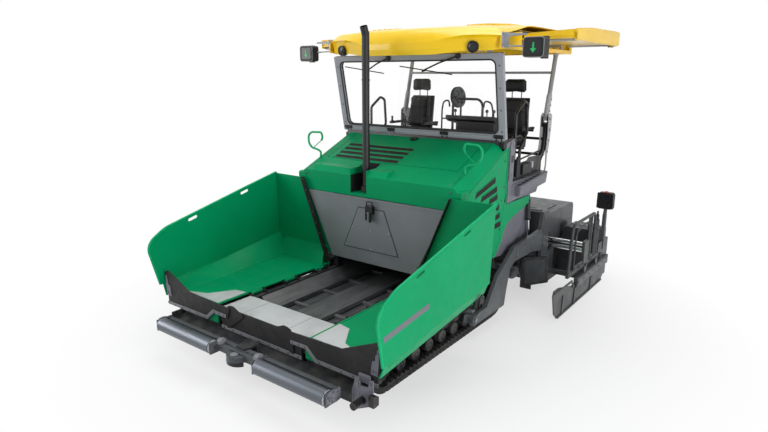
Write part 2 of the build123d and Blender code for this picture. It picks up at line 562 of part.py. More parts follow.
LID_FRONT = HOOD_Y + 322
KNUCKLE_Z = 1600          # lower end of a side door's hinge knuckle
LID_REAR = Y_SHIELD - 52
LID_HALF = 1000
LID_PIN_Y = LID_FRONT + 14
LID_PIN_Z = hood_z(LID_PIN_Y) - 17
RECESS_X = (-349, -94)
RECESS_REAR = HOOD_Y + 280
SHOULDER = 105
HOOD_END = Y_SHIELD - 14
DOOR = ((HOOD_Y + 52, 900), (HOOD_Y + 52, 1735), (HOOD_END, 2135), (Y_SHIELD + 112, 2180),
        (Y_SHIELD + 112, 1640), (Y_SHIELD + 30, 1300), (Y_SHIELD + 5, 1080), (Y_SHIELD - 110, 900))
with BuildPart() as hood_core:
    side_plate(-BODY_HALF + SKIN, BODY_HALF - SKIN,
               ((HOOD_Y + SKIN, 1500), (HOOD_Y + SKIN, HOOD_FRONT_Z - SKIN - 2),
                (HOOD_END + 5, hood_z(HOOD_END + 5) - SKIN - 2), (HOOD_END + 5, 1500)))
    tops = hood_core.edges().filter_by(lambda e: abs(e.tangent_at(0.5).X) < 0.01
                                       and abs(e.tangent_at(0.5).Z) > 0.1
                                       and abs(e.tangent_at(0.5).Y) > 0.1)
    chamfer(tops, SHOULDER)
with BuildPart() as shell:
    side_plate(-BODY_HALF, BODY_HALF,
               ((HOOD_Y, 1592), (HOOD_Y, HOOD_FRONT_Z), (HOOD_END, hood_z(HOOD_END)), (HOOD_END, 1592)))
    tops = shell.edges().filter_by(lambda e: abs(e.tangent_at(0.5).X) < 0.01
                                   and abs(e.tangent_at(0.5).Z) > 0.1
                                   and abs(e.tangent_at(0.5).Y) > 0.1)
    chamfer(tops, SHOULDER)
    add(hood_core.part, mode=Mode.SUBTRACT)
    # raised front box on the right of the exhaust and beside it
    bump_z = HOOD_FRONT_Z + 72
    for x_limits in ((-985, RECESS_X[0]), (RECESS_X[1], 205)):
        side_plate(*x_limits, ((HOOD_Y + 1, HOOD_FRONT_Z - 60), (HOOD_Y + 1, HOOD_FRONT_Z - 2),
                               (HOOD_Y + 52, bump_z),
                               (HOOD_Y + 215, bump_z + 14), (HOOD_Y + 225, bump_z),
                               (HOOD_Y + 60, HOOD_FRONT_Z - 60)))
    # recess of the exhaust, open at the front
    block((RECESS_X[0] - SKIN, RECESS_X[1] + SKIN), (HOOD_Y, RECESS_REAR + SKIN),
          (1610, hood_z(RECESS_REAR) - 1))
    side_plate(RECESS_X[0] - SKIN - 1, RECESS_X[1] + SKIN + 1,
               ((HOOD_Y - 1, bump_z), (HOOD_Y + 200, bump_z + 12),
                (RECESS_REAR + 20, hood_z(RECESS_REAR + 20) - 1),
                (RECESS_REAR + 20, 2100), (HOOD_Y - 1, 2100)), mode=Mode.SUBTRACT)
    block(RECESS_X, (HOOD_Y - 1, RECESS_REAR), (1624, 2100), mode=Mode.SUBTRACT)
    # opening under the engine lid
    block((-LID_HALF - GAP, LID_HALF + GAP), (LID_FRONT - 2 * GAP - 2, LID_REAR + GAP), (1900, 2300),
          mode=Mode.SUBTRACT)
    # lugs of the lid's hinge pins
    for side in (-1, 1):
        side_plate(*sorted((side * (LID_HALF + 8), side * (LID_HALF + 24))),
                   ((LID_PIN_Y - 24, hood_z(LID_PIN_Y - 24) - SKIN), (LID_PIN_Y - 24, LID_PIN_Z - 16),
                    (LID_PIN_Y + 24, LID_PIN_Z - 16), (LID_PIN_Y + 24, hood_z(LID_PIN_Y + 24) - SKIN)))
    round_x((-LID_HALF - 25, LID_HALF + 25), LID_PIN_Y, LID_PIN_Z, 6 + PIN_FIT, mode=Mode.SUBTRACT)
    # sides: fixed frame round each door, running back as a tail under the steps
    for side in (-1, 1):
        x_limits = sorted((side * (BODY_HALF - SKIN), side * BODY_HALF))
        side_plate(*x_limits, ((HOOD_Y, 860), (HOOD_Y, 1700), (HOOD_END, 2165), (Y_SHIELD + 150, 2215),
                               (Y_SHIELD + 150, 1490), (Y_SHIELD + 860, 1490), (Y_SHIELD + 860, 1392),
                               (Y_SHIELD + 629, 1339), (Y_SHIELD + 309, 1272), (Y_SHIELD + 185, 1215),
                               (Y_SHIELD + 115, 1140), (Y_SHIELD + 61, 1030), (Y_SHIELD - 110, 860)))
        grown = ((DOOR[0][0] - GAP, DOOR[0][1] - GAP), (DOOR[1][0] - GAP, DOOR[1][1] + GAP),
                 (DOOR[2][0], DOOR[2][1] + GAP), (DOOR[3][0] + 2 * GAP, DOOR[3][1] + GAP),
                 (DOOR[4][0] + 2 * GAP, KNUCKLE_Z - 75), (DOOR[4][0] - 16, KNUCKLE_Z - 75),
                 (DOOR[5][0] + GAP, DOOR[5][1]), (DOOR[6][0] + GAP, DOOR[6][1] - GAP / 2),
                 (DOOR[7][0] + GAP / 2, DOOR[7][1] - GAP))
        side_plate(x_limits[0] - 1, x_limits[1] + 1, grown, mode=Mode.SUBTRACT)
    # bracket under each door's hinge knuckle
    for side in (-1, 1):
        x_limits = sorted((side * (BODY_HALF - 21), side * (BODY_HALF - SKIN - 1.5)))
        block(x_limits, (Y_SHIELD + 96, Y_SHIELD + 132), (KNUCKLE_Z - 20, KNUCKLE_Z - SEAT))
        x_limits = sorted((side * (BODY_HALF - 12), side * (BODY_HALF - 3)))
        block(x_limits, (Y_SHIELD + 125, Y_SHIELD + 132), (KNUCKLE_Z - 20, KNUCKLE_Z - SEAT))
    # inner posts that stand on the chassis
    for side in (-1, 1):
        x_limits = sorted((side * (FRAME_HALF - 10), side * (BODY_HALF - SKIN + 1)))
        block(x_limits, (HOOD_Y + SKIN, HOOD_Y + 20), (TUNNEL_TOP + PLATE + SEAT, 1640))
shell.part.label = "body_shell"
export_step(shell.part, "parts/body_shell.step")

SLOT_PITCH = 95
LOUVRE_HEIGHT = 46
with BuildPart() as lid:
    side_plate(-LID_HALF, LID_HALF,
               ((LID_FRONT, hood_z(LID_FRONT)), (LID_REAR, hood_z(LID_REAR)),
                (LID_REAR, hood_z(LID_REAR) - SKIN - 1), (LID_FRONT, hood_z(LID_FRONT) - SKIN - 1)))
    # four louvre slots, from the right edge to just past the middle
    for number in range(4):
        slot_y = LID_REAR - 274 - number * SLOT_PITCH
        block((-905, 158 - 12 * number), (slot_y - 19, slot_y + 19), (1900, 2300), mode=Mode.SUBTRACT)
    block((-45, 45), (LID_REAR - 70, LID_REAR - 20), (hood_z(LID_REAR) - 36, hood_z(LID_REAR) - 4))
    round_x((-LID_HALF + 40, LID_HALF - 40), LID_PIN_Y, LID_PIN_Z, 14)
    round_x((-LID_HALF - 24, LID_HALF + 24), LID_PIN_Y, LID_PIN_Z, 6)
lid.part.label = "hood_lid"
export_step(lid.part, "parts/hood_lid.step")

with BuildPart() as door:
    side_plate(BODY_HALF - SKIN, BODY_HALF, DOOR)
    # three long and three short louvre slots
    # columns: y and z of the slot's lower front end, its run in y and its rise
    for slot_y, slot_z, run, rise in (
            (Y_WALL + 318, 1716, 479, 119), (Y_WALL + 453, 1649, 398, 70), (Y_WALL + 660, 1587, 214, 32),
            (Y_WALL + 790, 1463, 142, 22), (Y_WALL + 790, 1352, 173, 23), (Y_WALL + 801, 1250, 193, 11)):
        side_plate(BODY_HALF - SKIN - 1, BODY_HALF + 1,
                   ((slot_y, slot_z), (slot_y + run, slot_z + rise),
                    (slot_y + run, slot_z + rise + LOUVRE_HEIGHT),
                    (slot_y + 22, slot_z + LOUVRE_HEIGHT)), mode=Mode.SUBTRACT)
    # knuckles of the upright hinge along the rear edge
    round_z(BODY_HALF - 10, Y_SHIELD + 104, (KNUCKLE_Z, 2120), 9)
write_pair("side_door", door.part)

# ------------------------------------------------------------ exhaust
EXHAUST_R = 46
EXHAUST_X = -216
EXHAUST_Y = Y_WALL + 156
with BuildPart() as exhaust:
    round_z(EXHAUST_X, EXHAUST_Y, (1624 + SEAT, 1700), 70)
    round_z(EXHAUST_X, EXHAUST_Y, (1690, 3560), EXHAUST_R)
    tip = Plane(origin=(EXHAUST_X, EXHAUST_Y, 3520), z_dir=(0.05, -0.45, 1))
    with BuildSketch(tip) as mouth:
        Circle(EXHAUST_R)
    extrude(amount=105)
    with BuildSketch(tip.offset(30)) as hollow:
        Circle(EXHAUST_R - 4)
    extrude(amount=90, mode=Mode.SUBTRACT)
exhaust.part.label = "exhaust_stack"
export_step(exhaust.part, "parts/exhaust_stack.step")

# ------------------------------------------------------------ operator's platform
STEP_HALF = 1310
SEAT_X = 780
SEAT_Y = Y_SHIELD + 1000
PEDESTAL_TOP = DECK_Z + 230
CONSOLE_Y = Y_SHIELD + 440
with BuildPart() as deck:
    block((-DECK_HALF + 60, DECK_HALF - 60), (Y_SHIELD + 10, Y_DECK_END), (DECK_Z - 16, DECK_Z))
    # bulkhead between the engine bay and the platform
    block((-DECK_HALF + 60, DECK_HALF - 60), (Y_SHIELD + 10, Y_SHIELD + 22),
          (DECK_Z - 1, SHIELD_FOOT_Z - 80))
    # cowl that carries the windshield's pivots
    block((-DECK_HALF + 2, DECK_HALF - 2), (Y_SHIELD - 12, Y_SHIELD + 60),
          (SHIELD_FOOT_Z - 92, SHIELD_FOOT_Z - 28))
    for x_mid in (-1180, -420, 420, 1180):
        for end in (-1, 1):
            block((x_mid + end * 34 - 8, x_mid + end * 34 + 8), (Y_SHIELD - 10, Y_SHIELD + 24),
                  (SHIELD_FOOT_Z - 36, SHIELD_FOOT_Z + 14))
        round_x((x_mid - 42, x_mid + 42), Y_SHIELD + 4, SHIELD_FOOT_Z, 9)
    # seat pedestals
    for side in (-1, 1):
        round_z(side * SEAT_X, SEAT_Y, (DECK_Z - 1, PEDESTAL_TOP), 85)
    # slide rail of the console
    block((-1050, 1050), (CONSOLE_Y - 30, CONSOLE_Y + 30), (2130, 2170))
    for x_mid in (-1030, 0, 1030):
        block((x_mid - 20, x_mid + 20), (CONSOLE_Y - 30, CONSOLE_Y + 30), (DECK_Z - 1, 2140))
deck.part.label = "platform_deck"
export_step(deck.part, "parts/platform_deck.step")

with BuildPart() as steps:
    # grey side box with the windshield's foot in front and the step box behind it
    side_plate(TANK_HALF + SEAT, BODY_HALF - SKIN - SEAT,
               ((Y_SHIELD + 156, 1500), (Y_SHIELD + 156, DECK_Z - 17), (Y_SHIELD + 1290, DECK_Z - 17),
                (Y_SHIELD + 1110, 1500)))
    side_plate(DECK_HALF - 59, DECK_HALF,
               ((Y_SHIELD + 156, 1500), (Y_SHIELD + 156, 2222), (Y_SHIELD + 62, 2190), (Y_SHIELD + 62, 2256),
                (Y_SHIELD + 282, 2300), (Y_SHIELD + 290, 1700), (Y_SHIELD + 330, 1500)))
    side_plate(DECK_HALF - 1, STEP_HALF,
               ((Y_SHIELD + 360, 1560), (Y_SHIELD + 360, 1690), (Y_SHIELD + 1290, 1775),
                (Y_SHIELD + 1240, 1620)))
    side_plate(DECK_HALF - 60, DECK_HALF,
               ((Y_SHIELD + 156, 1496), (Y_SHIELD + 156, 1700), (Y_SHIELD + 1290, 1775),
                (Y_SHIELD + 1110, 1580)))
    # fender over the rear of the track
    side_plate(TANK_HALF + SEAT, TANK_HALF + 44,
               ((Y_SHIELD - 120, 832), (Y_SHIELD + 156, 1320), (Y_SHIELD + 860, 1392),
                (Y_SHIELD + 800, 1130),
                (Y_SHIELD + 560, 900), (Y_SHIELD + 200, 800)))
    block((TANK_HALF + SEAT, TANK_HALF + 44), (Y_SHIELD + 400, Y_SHIELD + 860), (1380, 1502))
    # feet of the lift cylinders
    block((TANK_HALF + SEAT, TANK_HALF + 12), (LIFT_FOOT[0] - 50, LIFT_FOOT[0] + 50), (1400, 1502))
    round_x((TANK_HALF + 11, LIFT_X + 24), *LIFT_FOOT, 14)
    mirror(about=Plane.YZ)
steps.part.label = "side_steps"
export_step(steps.part, "parts/side_steps.step")

RAIL_R = 19
with BuildPart() as rails:
    rail_x = DECK_HALF - 85
    # guard loops beside each seat
    pipe(((rail_x, Y_SHIELD + 477, DECK_Z + SEAT), (rail_x, Y_SHIELD + 477, 2600),
          (rail_x, Y_SHIELD + 700, 2740),
          (rail_x, Y_SHIELD + 805, 2700), (rail_x, Y_SHIELD + 840, 2330), (rail_x, Y_SHIELD + 640, 2130),
          (rail_x, Y_SHIELD + 640, DECK_Z + SEAT)), RAIL_R, 60)
    # lower halves of the roof's rear posts
    pipe(((POST_X - 40, Y_DECK_END - 36, DECK_Z + SEAT), (POST_X - 40, Y_DECK_END - 36, 1900),
          (POST_X, Y_DECK_END - 6, 2060), (POST_X, Y_DECK_END + 40, 2300),
          (POST_X, REAR_HINGE_Y - 2, REAR_HINGE_Z - 52)), 34, 50)
    for end in (-1, 1):
        block((POST_X + end * 40 - 7, POST_X + end * 40 + 7), (REAR_HINGE_Y - 34, REAR_HINGE_Y + 40),
              (REAR_HINGE_Z - 110, REAR_HINGE_Z + 26))
    block((POST_X - 46, POST_X + 46), (REAR_HINGE_Y - 34, REAR_HINGE_Y + 40),
          (REAR_HINGE_Z - 110, REAR_HINGE_Z - 60))
    round_x((POST_X - 47, POST_X + 47), REAR_HINGE_Y, REAR_HINGE_Z, 12)
    mirror(about=Plane.YZ)
    # rear guard rail between the posts, and the loop in the middle
    for height in (1980, 2200):
        round_x((-POST_X, POST_X), Y_DECK_END + 20, height, RAIL_R)
    pipe(((-250, Y_DECK_END - 60, DECK_Z + SEAT), (-250, Y_DECK_END - 60, 2720),
          (250, Y_DECK_END - 60, 2720), (250, Y_DECK_END - 60, DECK_Z + SEAT)), RAIL_R, 110)
    for side in (-1, 1):
        block(sorted((side * 240, side * 262)), (Y_DECK_END - 62, Y_DECK_END + 22), (1969, 1991))
rails.part.label = "guard_rails"
export_step(rails.part, "parts/guard_rails.step")

# ------------------------------------------------------------ windshield frame
SHIELD_HALF = 1272
lean = radians(SHIELD_LEAN)
shield_up = Vector(0, -sin(lean), cos(lean))
shield_plane = Plane(origin=(0, Y_SHIELD + 4, SHIELD_FOOT_Z), x_dir=(1, 0, 0),
                     z_dir=(0, -cos(lean), -sin(lean)))
GLASS_X = 1272 - 92
GLASS_LOW, GLASS_HIGH = 92, SHIELD_HEIGHT - 96
with BuildPart() as shield:
    with BuildSketch(shield_plane) as frame_face:
        with Locations((0, 6 + (SHIELD_HEIGHT - 30) / 2)):
            RectangleRounded(2 * SHIELD_HALF, SHIELD_HEIGHT - 30, 24)
        with Locations((0, (GLASS_LOW + GLASS_HIGH) / 2)):
            RectangleRounded(2 * GLASS_X, GLASS_HIGH - GLASS_LOW, 70, mode=Mode.SUBTRACT)
    extrude(amount=SHIELD_THICK / 2, both=True)
    for x_mid in (-1180, -420, 420, 1180):
        block((x_mid - 48, x_mid + 48), (Y_SHIELD - 40, Y_SHIELD + 50),
              (SHIELD_FOOT_Z - 30, SHIELD_FOOT_Z + 26),
              mode=Mode.SUBTRACT)
        round_x((x_mid - 24, x_mid + 24), Y_SHIELD + 4, SHIELD_FOOT_Z, 18)
        with BuildSketch(shield_plane) as tab:
            with Locations((x_mid, 22)):
                Rectangle(48, 44)
        extrude(amount=9, both=True)
        round_x((x_mid - 25, x_mid + 25), Y_SHIELD + 4, SHIELD_FOOT_Z, 9 + PIN_FIT, mode=Mode.SUBTRACT)
    # pivots of the roof on the frame's upper edge
    shield_top = Vector(0, Y_SHIELD + 4, SHIELD_FOOT_Z) + shield_up * SHIELD_HEIGHT
    for x_mid in (-1100, 1100):
        round_x((x_mid - 24, x_mid + 24), shield_top.Y, shield_top.Z, 20)
        with BuildSketch(shield_plane) as tab:
            with Locations((x_mid, SHIELD_HEIGHT - 16)):
                Rectangle(48, 32)
        extrude(amount=9, both=True)
        round_x((x_mid - 25, x_mid + 25), shield_top.Y, shield_top.Z, 9 + PIN_FIT, mode=Mode.SUBTRACT)
shield.part.label = "windshield_frame"
export_step(shield.part, "parts/windshield_frame.step")

with BuildPart() as glass:
    with BuildSketch(shield_plane) as pane:
        with Locations((0, (GLASS_LOW + GLASS_HIGH) / 2)):
            RectangleRounded(2 * GLASS_X - 2 * SEAT, GLASS_HIGH - GLASS_LOW - 2 * SEAT, 70 - SEAT)
    extrude(amount=3, both=True)
glass.part.label = "windshield_glass"
export_step(glass.part, "parts/windshield_glass.step")

# ------------------------------------------------------------ roof
ROOF_HALF = 1282
ROOF_SKIN = 20
ROOF_CORNER_Y = Y_SHIELD - 290
ROOF_NOSE_Y = Y_SHIELD - 570
ROOF_REAR_Y = Y_DECK_END + 560
ROOF_EDGE_Z = ROOF_Z + 215
ROOF_CROWN_Z = ROOF_Z + 323
AWNING_Y = (Y_SHIELD + 250, Y_DECK_END + 500)
AWNING_Z = (ROOF_Z + 125, ROOF_Z + 143)
with BuildPart() as roof:
    with BuildSketch(Plane.XY.offset(ROOF_Z)) as plan:
        with BuildLine():
            Line((-ROOF_HALF, ROOF_REAR_Y), (-ROOF_HALF, ROOF_CORNER_Y))
            ThreePointArc((-ROOF_HALF, ROOF_CORNER_Y), (0, ROOF_NOSE_Y), (ROOF_HALF, ROOF_CORNER_Y))
            Line((ROOF_HALF, ROOF_CORNER_Y), (ROOF_HALF, ROOF_REAR_Y))
            Line((ROOF_HALF, ROOF_REAR_Y), (-ROOF_HALF, ROOF_REAR_Y))
        make_face()
    extrude(amount=ROOF_EDGE_Z - ROOF_Z)
    chamfer(roof.edges().filter_by(Axis.Y).group_by(Axis.Z)[-1], 60)
    # crown
    with BuildSketch(Plane.XY.offset(ROOF_EDGE_Z - 1)) as crown_foot:
        with Locations((0, (ROOF_CORNER_Y + ROOF_REAR_Y) / 2)):
            Rectangle(2 * ROOF_HALF - 200, ROOF_REAR_Y - ROOF_CORNER_Y - 40)
    with BuildSketch(Plane.XY.offset(ROOF_CROWN_Z)) as crown_top:
        with Locations((0, (ROOF_CORNER_Y + ROOF_REAR_Y) / 2 + 60)):
            Rectangle(2 * ROOF_HALF - 700, ROOF_REAR_Y - ROOF_CORNER_Y - 500)
    loft(ruled=True)
    # hollow underside
    with BuildSketch(Plane.XY.offset(ROOF_Z - 1)) as hollow:
        with BuildLine():
            inner = ROOF_HALF - ROOF_SKIN
            Line((-inner, ROOF_REAR_Y - ROOF_SKIN), (-inner, ROOF_CORNER_Y + 20))
            ThreePointArc((-inner, ROOF_CORNER_Y + 20), (0, ROOF_NOSE_Y + 26), (inner, ROOF_CORNER_Y + 20))
            Line((inner, ROOF_CORNER_Y + 20), (inner, ROOF_REAR_Y - ROOF_SKIN))
            Line((inner, ROOF_REAR_Y - ROOF_SKIN), (-inner, ROOF_REAR_Y - ROOF_SKIN))
        make_face()
    extrude(amount=ROOF_EDGE_Z - 60 - ROOF_Z, mode=Mode.SUBTRACT)
    # side mouths of the sliding awnings
    for side in (-1, 1):
        x_limits = sorted((side * (ROOF_HALF - ROOF_SKIN - 1), side * (ROOF_HALF + 1)))
        block(x_limits, (AWNING_Y[0] - GAP, AWNING_Y[1] + GAP), (AWNING_Z[0] - 60, AWNING_Z[1] + 8),
              mode=Mode.SUBTRACT)
    # pivot lugs over the windshield frame and cross ribs with the awnings' runners
    for x_mid in (-1100, 1100):
        for end in (-1, 1):
            block((x_mid + end * 34 - 8, x_mid + end * 34 + 8), (shield_top.Y - 24, shield_top.Y + 24),
                  (shield_top.Z - 12, ROOF_EDGE_Z - 59))
        round_x((x_mid - 42, x_mid + 42), shield_top.Y, shield_top.Z, 9)
    for rib_y in (AWNING_Y[0] + 120, REAR_TOP_Y + 10):
        block((-ROOF_HALF + 21, ROOF_HALF - 21), (rib_y - 20, rib_y + 20),
              (AWNING_Z[0] - 30, AWNING_Z[0] - SEAT))
        for side in (-1, 1):
            x_limits = sorted((side * (POST_X + POST_R + GAP), side * (ROOF_HALF - 19)))
            block(x_limits, (rib_y - 20, rib_y + 20), (ROOF_Z + 40, AWNING_Z[0] - 29))
    for x_mid in (-40, 40):
        block((x_mid - 10, x_mid + 10), (AWNING_Y[0] + 100, REAR_TOP_Y + 30),
              (ROOF_Z + 60, ROOF_EDGE_Z - 59))
    # lugs beside the open upper eyes of the rear posts
    for side in (-1, 1):
        for end in (-1, 1):
            lug_x = side * POST_X + end * (POST_R + GAP + 4)
            block((lug_x - 4, lug_x + 4), (REAR_TOP_Y - 44, REAR_TOP_Y + 40),
                  (REAR_TOP_Z - 34, AWNING_Z[0] - 20))
roof.part.label = "roof"
export_step(roof.part, "parts/roof.step")

with BuildPart() as awning:
    block((660, 1930), AWNING_Y, AWNING_Z)
    side_plate(1912, 1932, ((AWNING_Y[0], AWNING_Z[0] - 20), (AWNING_Y[0], AWNING_Z[1] + 40),
                            (AWNING_Y[1], AWNING_Z[1] + 90), (AWNING_Y[1], AWNING_Z[0] - 20)))
write_pair("awning", awning.part)

with BuildPart() as signals:
    for side in (-1, 1):
        arm_x = sorted((side * (ROOF_HALF + SEAT), side * 1560))
        block(arm_x, (Y_SHIELD - 250, Y_SHIELD - 225), (ROOF_Z + 107, ROOF_Z + 125))
        block(arm_x, (Y_SHIELD - 250, Y_SHIELD - 225), (ROOF_Z + 27, ROOF_Z + 39))
        plate_x = sorted((side * (ROOF_HALF + SEAT), side * (ROOF_HALF + 12)))
        block(plate_x, (Y_SHIELD - 290, Y_SHIELD - 120), (ROOF_Z + 17, ROOF_Z + 175))
        box_x = sorted((side * 1548, side * 1818))
        block(box_x, (Y_SHIELD - 352, Y_SHIELD - 200), (ROOF_Z - 109, ROOF_Z + 121))
signals.part.label = "signal_boxes"
export_step(signals.part, "parts/signal_boxes.step")

with BuildPart() as posts:
    rear_top = Vector(0, REAR_TOP_Y, REAR_TOP_Z)
    rear_foot = Vector(0, REAR_HINGE_Y, REAR_HINGE_Z)
    post_axis = (rear_top - rear_foot).normalized()
    for side in (-1, 1):
        with BuildSketch(Plane(origin=rear_foot + Vector(side * POST_X, 0, 0) + post_axis * 14,
                               z_dir=post_axis)) as post:
            Circle(POST_R)
        extrude(amount=(rear_top - rear_foot).length - 30)
        round_x((side * POST_X - 29, side * POST_X + 29), REAR_HINGE_Y, REAR_HINGE_Z, 26)
        round_x((side * POST_X - 30, side * POST_X + 30), REAR_HINGE_Y, REAR_HINGE_Z, 12 + PIN_FIT,
                mode=Mode.SUBTRACT)
    brace = rear_foot + post_axis * 640
    round_x((-POST_X, POST_X), brace.Y, brace.Z, 17)
posts.part.label = "rear_posts"
export_step(posts.part, "parts/rear_posts.step")

# ------------------------------------------------------------ seats
CUSHION_Z = PEDESTAL_TOP + 150
with BuildPart() as seat:
    round_z(SEAT_X, SEAT_Y, (PEDESTAL_TOP + SEAT, PEDESTAL_TOP + 60), 120)
    block((SEAT_X - 200, SEAT_X + 200), (SEAT_Y - 190, SEAT_Y + 190), (PEDESTAL_TOP + 50, CUSHION_Z - SEAT))
    side_plate(SEAT_X - 190, SEAT_X + 190,
               ((SEAT_Y + 200, CUSHION_Z - 60), (SEAT_Y + 262, CUSHION_Z - 60),
                (SEAT_Y + 330, CUSHION_Z + 600),
                (SEAT_Y + 304, CUSHION_Z + 600)))
    block((SEAT_X - 190, SEAT_X + 190), (SEAT_Y + 150, SEAT_Y + 240), (CUSHION_Z - 90, CUSHION_Z - 40))
    for side in (-1, 1):
        arm = sorted((SEAT_X + side * 262, SEAT_X + side * 322))
        block(arm, (SEAT_Y - 150, SEAT_Y + 252), (CUSHION_Z + 190, CUSHION_Z + 232))
        link = sorted((SEAT_X + side * 188, SEAT_X + side * 300))
        block(link, (SEAT_Y + 245, SEAT_Y + 268), (CUSHION_Z + 160, CUSHION_Z + 200))
    for post_x in (SEAT_X - 70, SEAT_X + 70):
        block((post_x - 8, post_x + 8), (SEAT_Y + 304, SEAT_Y + 320), (CUSHION_Z + 560, CUSHION_Z + 700))
write_pair("seat", seat.part)

with BuildPart() as cushions:
    block((SEAT_X - 240, SEAT_X + 240), (SEAT_Y - 240, SEAT_Y + 180), (CUSHION_Z, CUSHION_Z + 120))
    side_plate(SEAT_X - 220, SEAT_X + 220,
               ((SEAT_Y + 120, CUSHION_Z + 122), (SEAT_Y + 228.3, CUSHION_Z + 122),
                (SEAT_Y + 303.7, CUSHION_Z + 600), (SEAT_Y + 303.7, CUSHION_Z + 640),
                (SEAT_Y + 200, CUSHION_Z + 640)))
    block((SEAT_X - 150, SEAT_X + 150), (SEAT_Y + 214, SEAT_Y + 304 - SEAT),
          (CUSHION_Z + 680, CUSHION_Z + 880))
write_pair("seat_cushions", cushions.part)

# ------------------------------------------------------------ console
with BuildPart() as console:
    side_plate(250, 960, ((CONSOLE_Y - 180, 2500), (CONSOLE_Y - 170, 2555), (CONSOLE_Y + 60, 2520),
                          (CONSOLE_Y + 190, 2440), (CONSOLE_Y + 180, 2400)))
    block((430, 930), (CONSOLE_Y - 150, CONSOLE_Y + 90), (2250, 2470))
    block((520, 840), (CONSOLE_Y - 60, CONSOLE_Y + 60), (2170 + SEAT, 2260))
    for end in (-1, 1):
        y_limits = sorted((CONSOLE_Y + end * 33, CONSOLE_Y + end * 52))
        block((520, 840), y_limits, (2136, 2172))
console.part.label = "console"
export_step(console.part, "parts/console.step")

# ------------------------------------------------------------ tow points and tow arms
ARM_OUTER = ARM_INNER + ARM_THICK
with BuildPart() as tow_points:
    block((TOW_POST_X[0] - 22, TOW_POST_X[0] - SEAT), (TOW_POST_Y[0] - 60, TOW_POST_Y[1] + 20), (170, 330))
    block((TOW_POST_X[0] - 22, TOW_POST_X[1]), (TOW_POST_Y[0] - 70, TOW_POST_Y[0] - SEAT), (170, 330))
    block((TOW_POST_X[0] - 22, TOW_POST_X[1]), (TOW_Y - 40, TOW_POST_Y[0] - 60), (TOW_Z - 42, TOW_Z + 42))
    round_x((TOW_POST_X[1] - 1, ARM_OUTER + 16), TOW_Y, TOW_Z, 25)
    mirror(about=Plane.YZ)
tow_points.part.label = "tow_points"
export_step(tow_points.part, "parts/tow_points.step")

COLUMN_Y = (Y_SCREED - 415, Y_SCREED - 181)
LIFT_EYE = (Y_SHIELD + 1020, 860)
with BuildPart() as arms:
    side_plate(ARM_INNER, ARM_OUTER,
               ((TOW_Y - 62, TOW_Z - 30), (TOW_Y - 40, TOW_Z - 62), (Y_SHIELD + 68, TOW_Z - 62),
                (Y_SHIELD + 120, 400),
                (Y_SHIELD + 200, 640), (Y_SHIELD + 320, 705), (Y_SHIELD + 900, 700), (COLUMN_Y[0], 640),
                (COLUMN_Y[0], 240), (COLUMN_Y[1], 240), (COLUMN_Y[1] + 250, 250), (COLUMN_Y[1] + 250, 560),
                (COLUMN_Y[1], 560), (COLUMN_Y[1], 1150), (COLUMN_Y[1] - 40, 1195), (COLUMN_Y[0], 1195),
                (COLUMN_Y[0] - 60, 960), (Y_SHIELD + 925, 935), (Y_SHIELD + 310, 904), (Y_SHIELD - 152, 639),
                (TOW_Y + 290, 318), (TOW_Y - 30, TOW_Z + 64), (TOW_Y - 62, TOW_Z + 30)))
    round_x((ARM_INNER - 1, ARM_OUTER + 1), TOW_Y, TOW_Z, 25 + PIN_FIT, mode=Mode.SUBTRACT)
    # eye pin of the lift cylinder, and the flange that meets the screed
    round_x((LIFT_X + 32 + GAP, ARM_INNER + 1), *LIFT_EYE, 16)
    block((DECK_HALF - 40, ARM_INNER + 1), (Y_SCREED - 30, Y_SCREED - SEAT), (260, 550))
    mirror(about=Plane.YZ)
arms.part.label = "tow_arms"
export_step(arms.part, "parts/tow_arms.step")

# ------------------------------------------------------------ screed
HOOD_TOP_Z = 1088
with BuildPart() as screed:
    block((-DECK_HALF, DECK_HALF), (Y_SCREED, EXT_FRONT - GAP - 2), (0, 30))
    block((-DECK_HALF, DECK_HALF), (Y_SCREED, EXT_FRONT - GAP - 2), (30, 560))
    for rod_z in ROD_Z:
        for side in (-1, 1):
            x_limits = sorted((side * 700, side * DECK_HALF))
            round_x(x_limits, ROD_Y, rod_z, ROD_R + 12)
            block(x_limits, (ROD_Y, Y_SCREED + 1), (rod_z - 20, rod_z + 20))
            round_x((x_limits[0] - 1, x_limits[1] + 1), ROD_Y, rod_z, ROD_R + PIN_FIT, mode=Mode.SUBTRACT)
    block((-DECK_HALF, DECK_HALF), (Y_SCREED, Y_SCREED + 60), (559, 800))
screed.part.label = "screed_body"
export_step(screed.part, "parts/screed_body.step")

with BuildPart() as cover:
    side_plate(-DECK_HALF, DECK_HALF,
               ((Y_SCREED + 60 + SEAT, 640), (Y_SCREED + 60 + SEAT, 800 + SEAT), (Y_SCREED - 10, 800 + SEAT),
                (Y_SCREED - 3, HOOD_TOP_Z),
                (Y_REAR - 42, HOOD_TOP_Z), (Y_REAR - 5, 1030), (Y_REAR, 760), (Y_REAR - 50, 640)))
    side_plate(-DECK_HALF + 10, DECK_HALF - 10,
               ((Y_SCREED + 72, 630), (Y_SCREED + 72, 816), (Y_SCREED + 8, 816),
                (Y_SCREED + 12, HOOD_TOP_Z - 10),
                (Y_REAR - 50, HOOD_TOP_Z - 10), (Y_REAR - 16, 1026), (Y_REAR - 12, 770), (Y_REAR - 58, 630)),
               mode=Mode.SUBTRACT)
    for rib_x in (-900, 0, 900):
        block((rib_x - 6, rib_x + 6), (Y_SCREED + 61, EXT_FRONT - GAP - 2), (560 + SEAT, HOOD_TOP_Z - 5))
cover.part.label = "screed_hood"
export_step(cover.part, "parts/screed_hood.step")

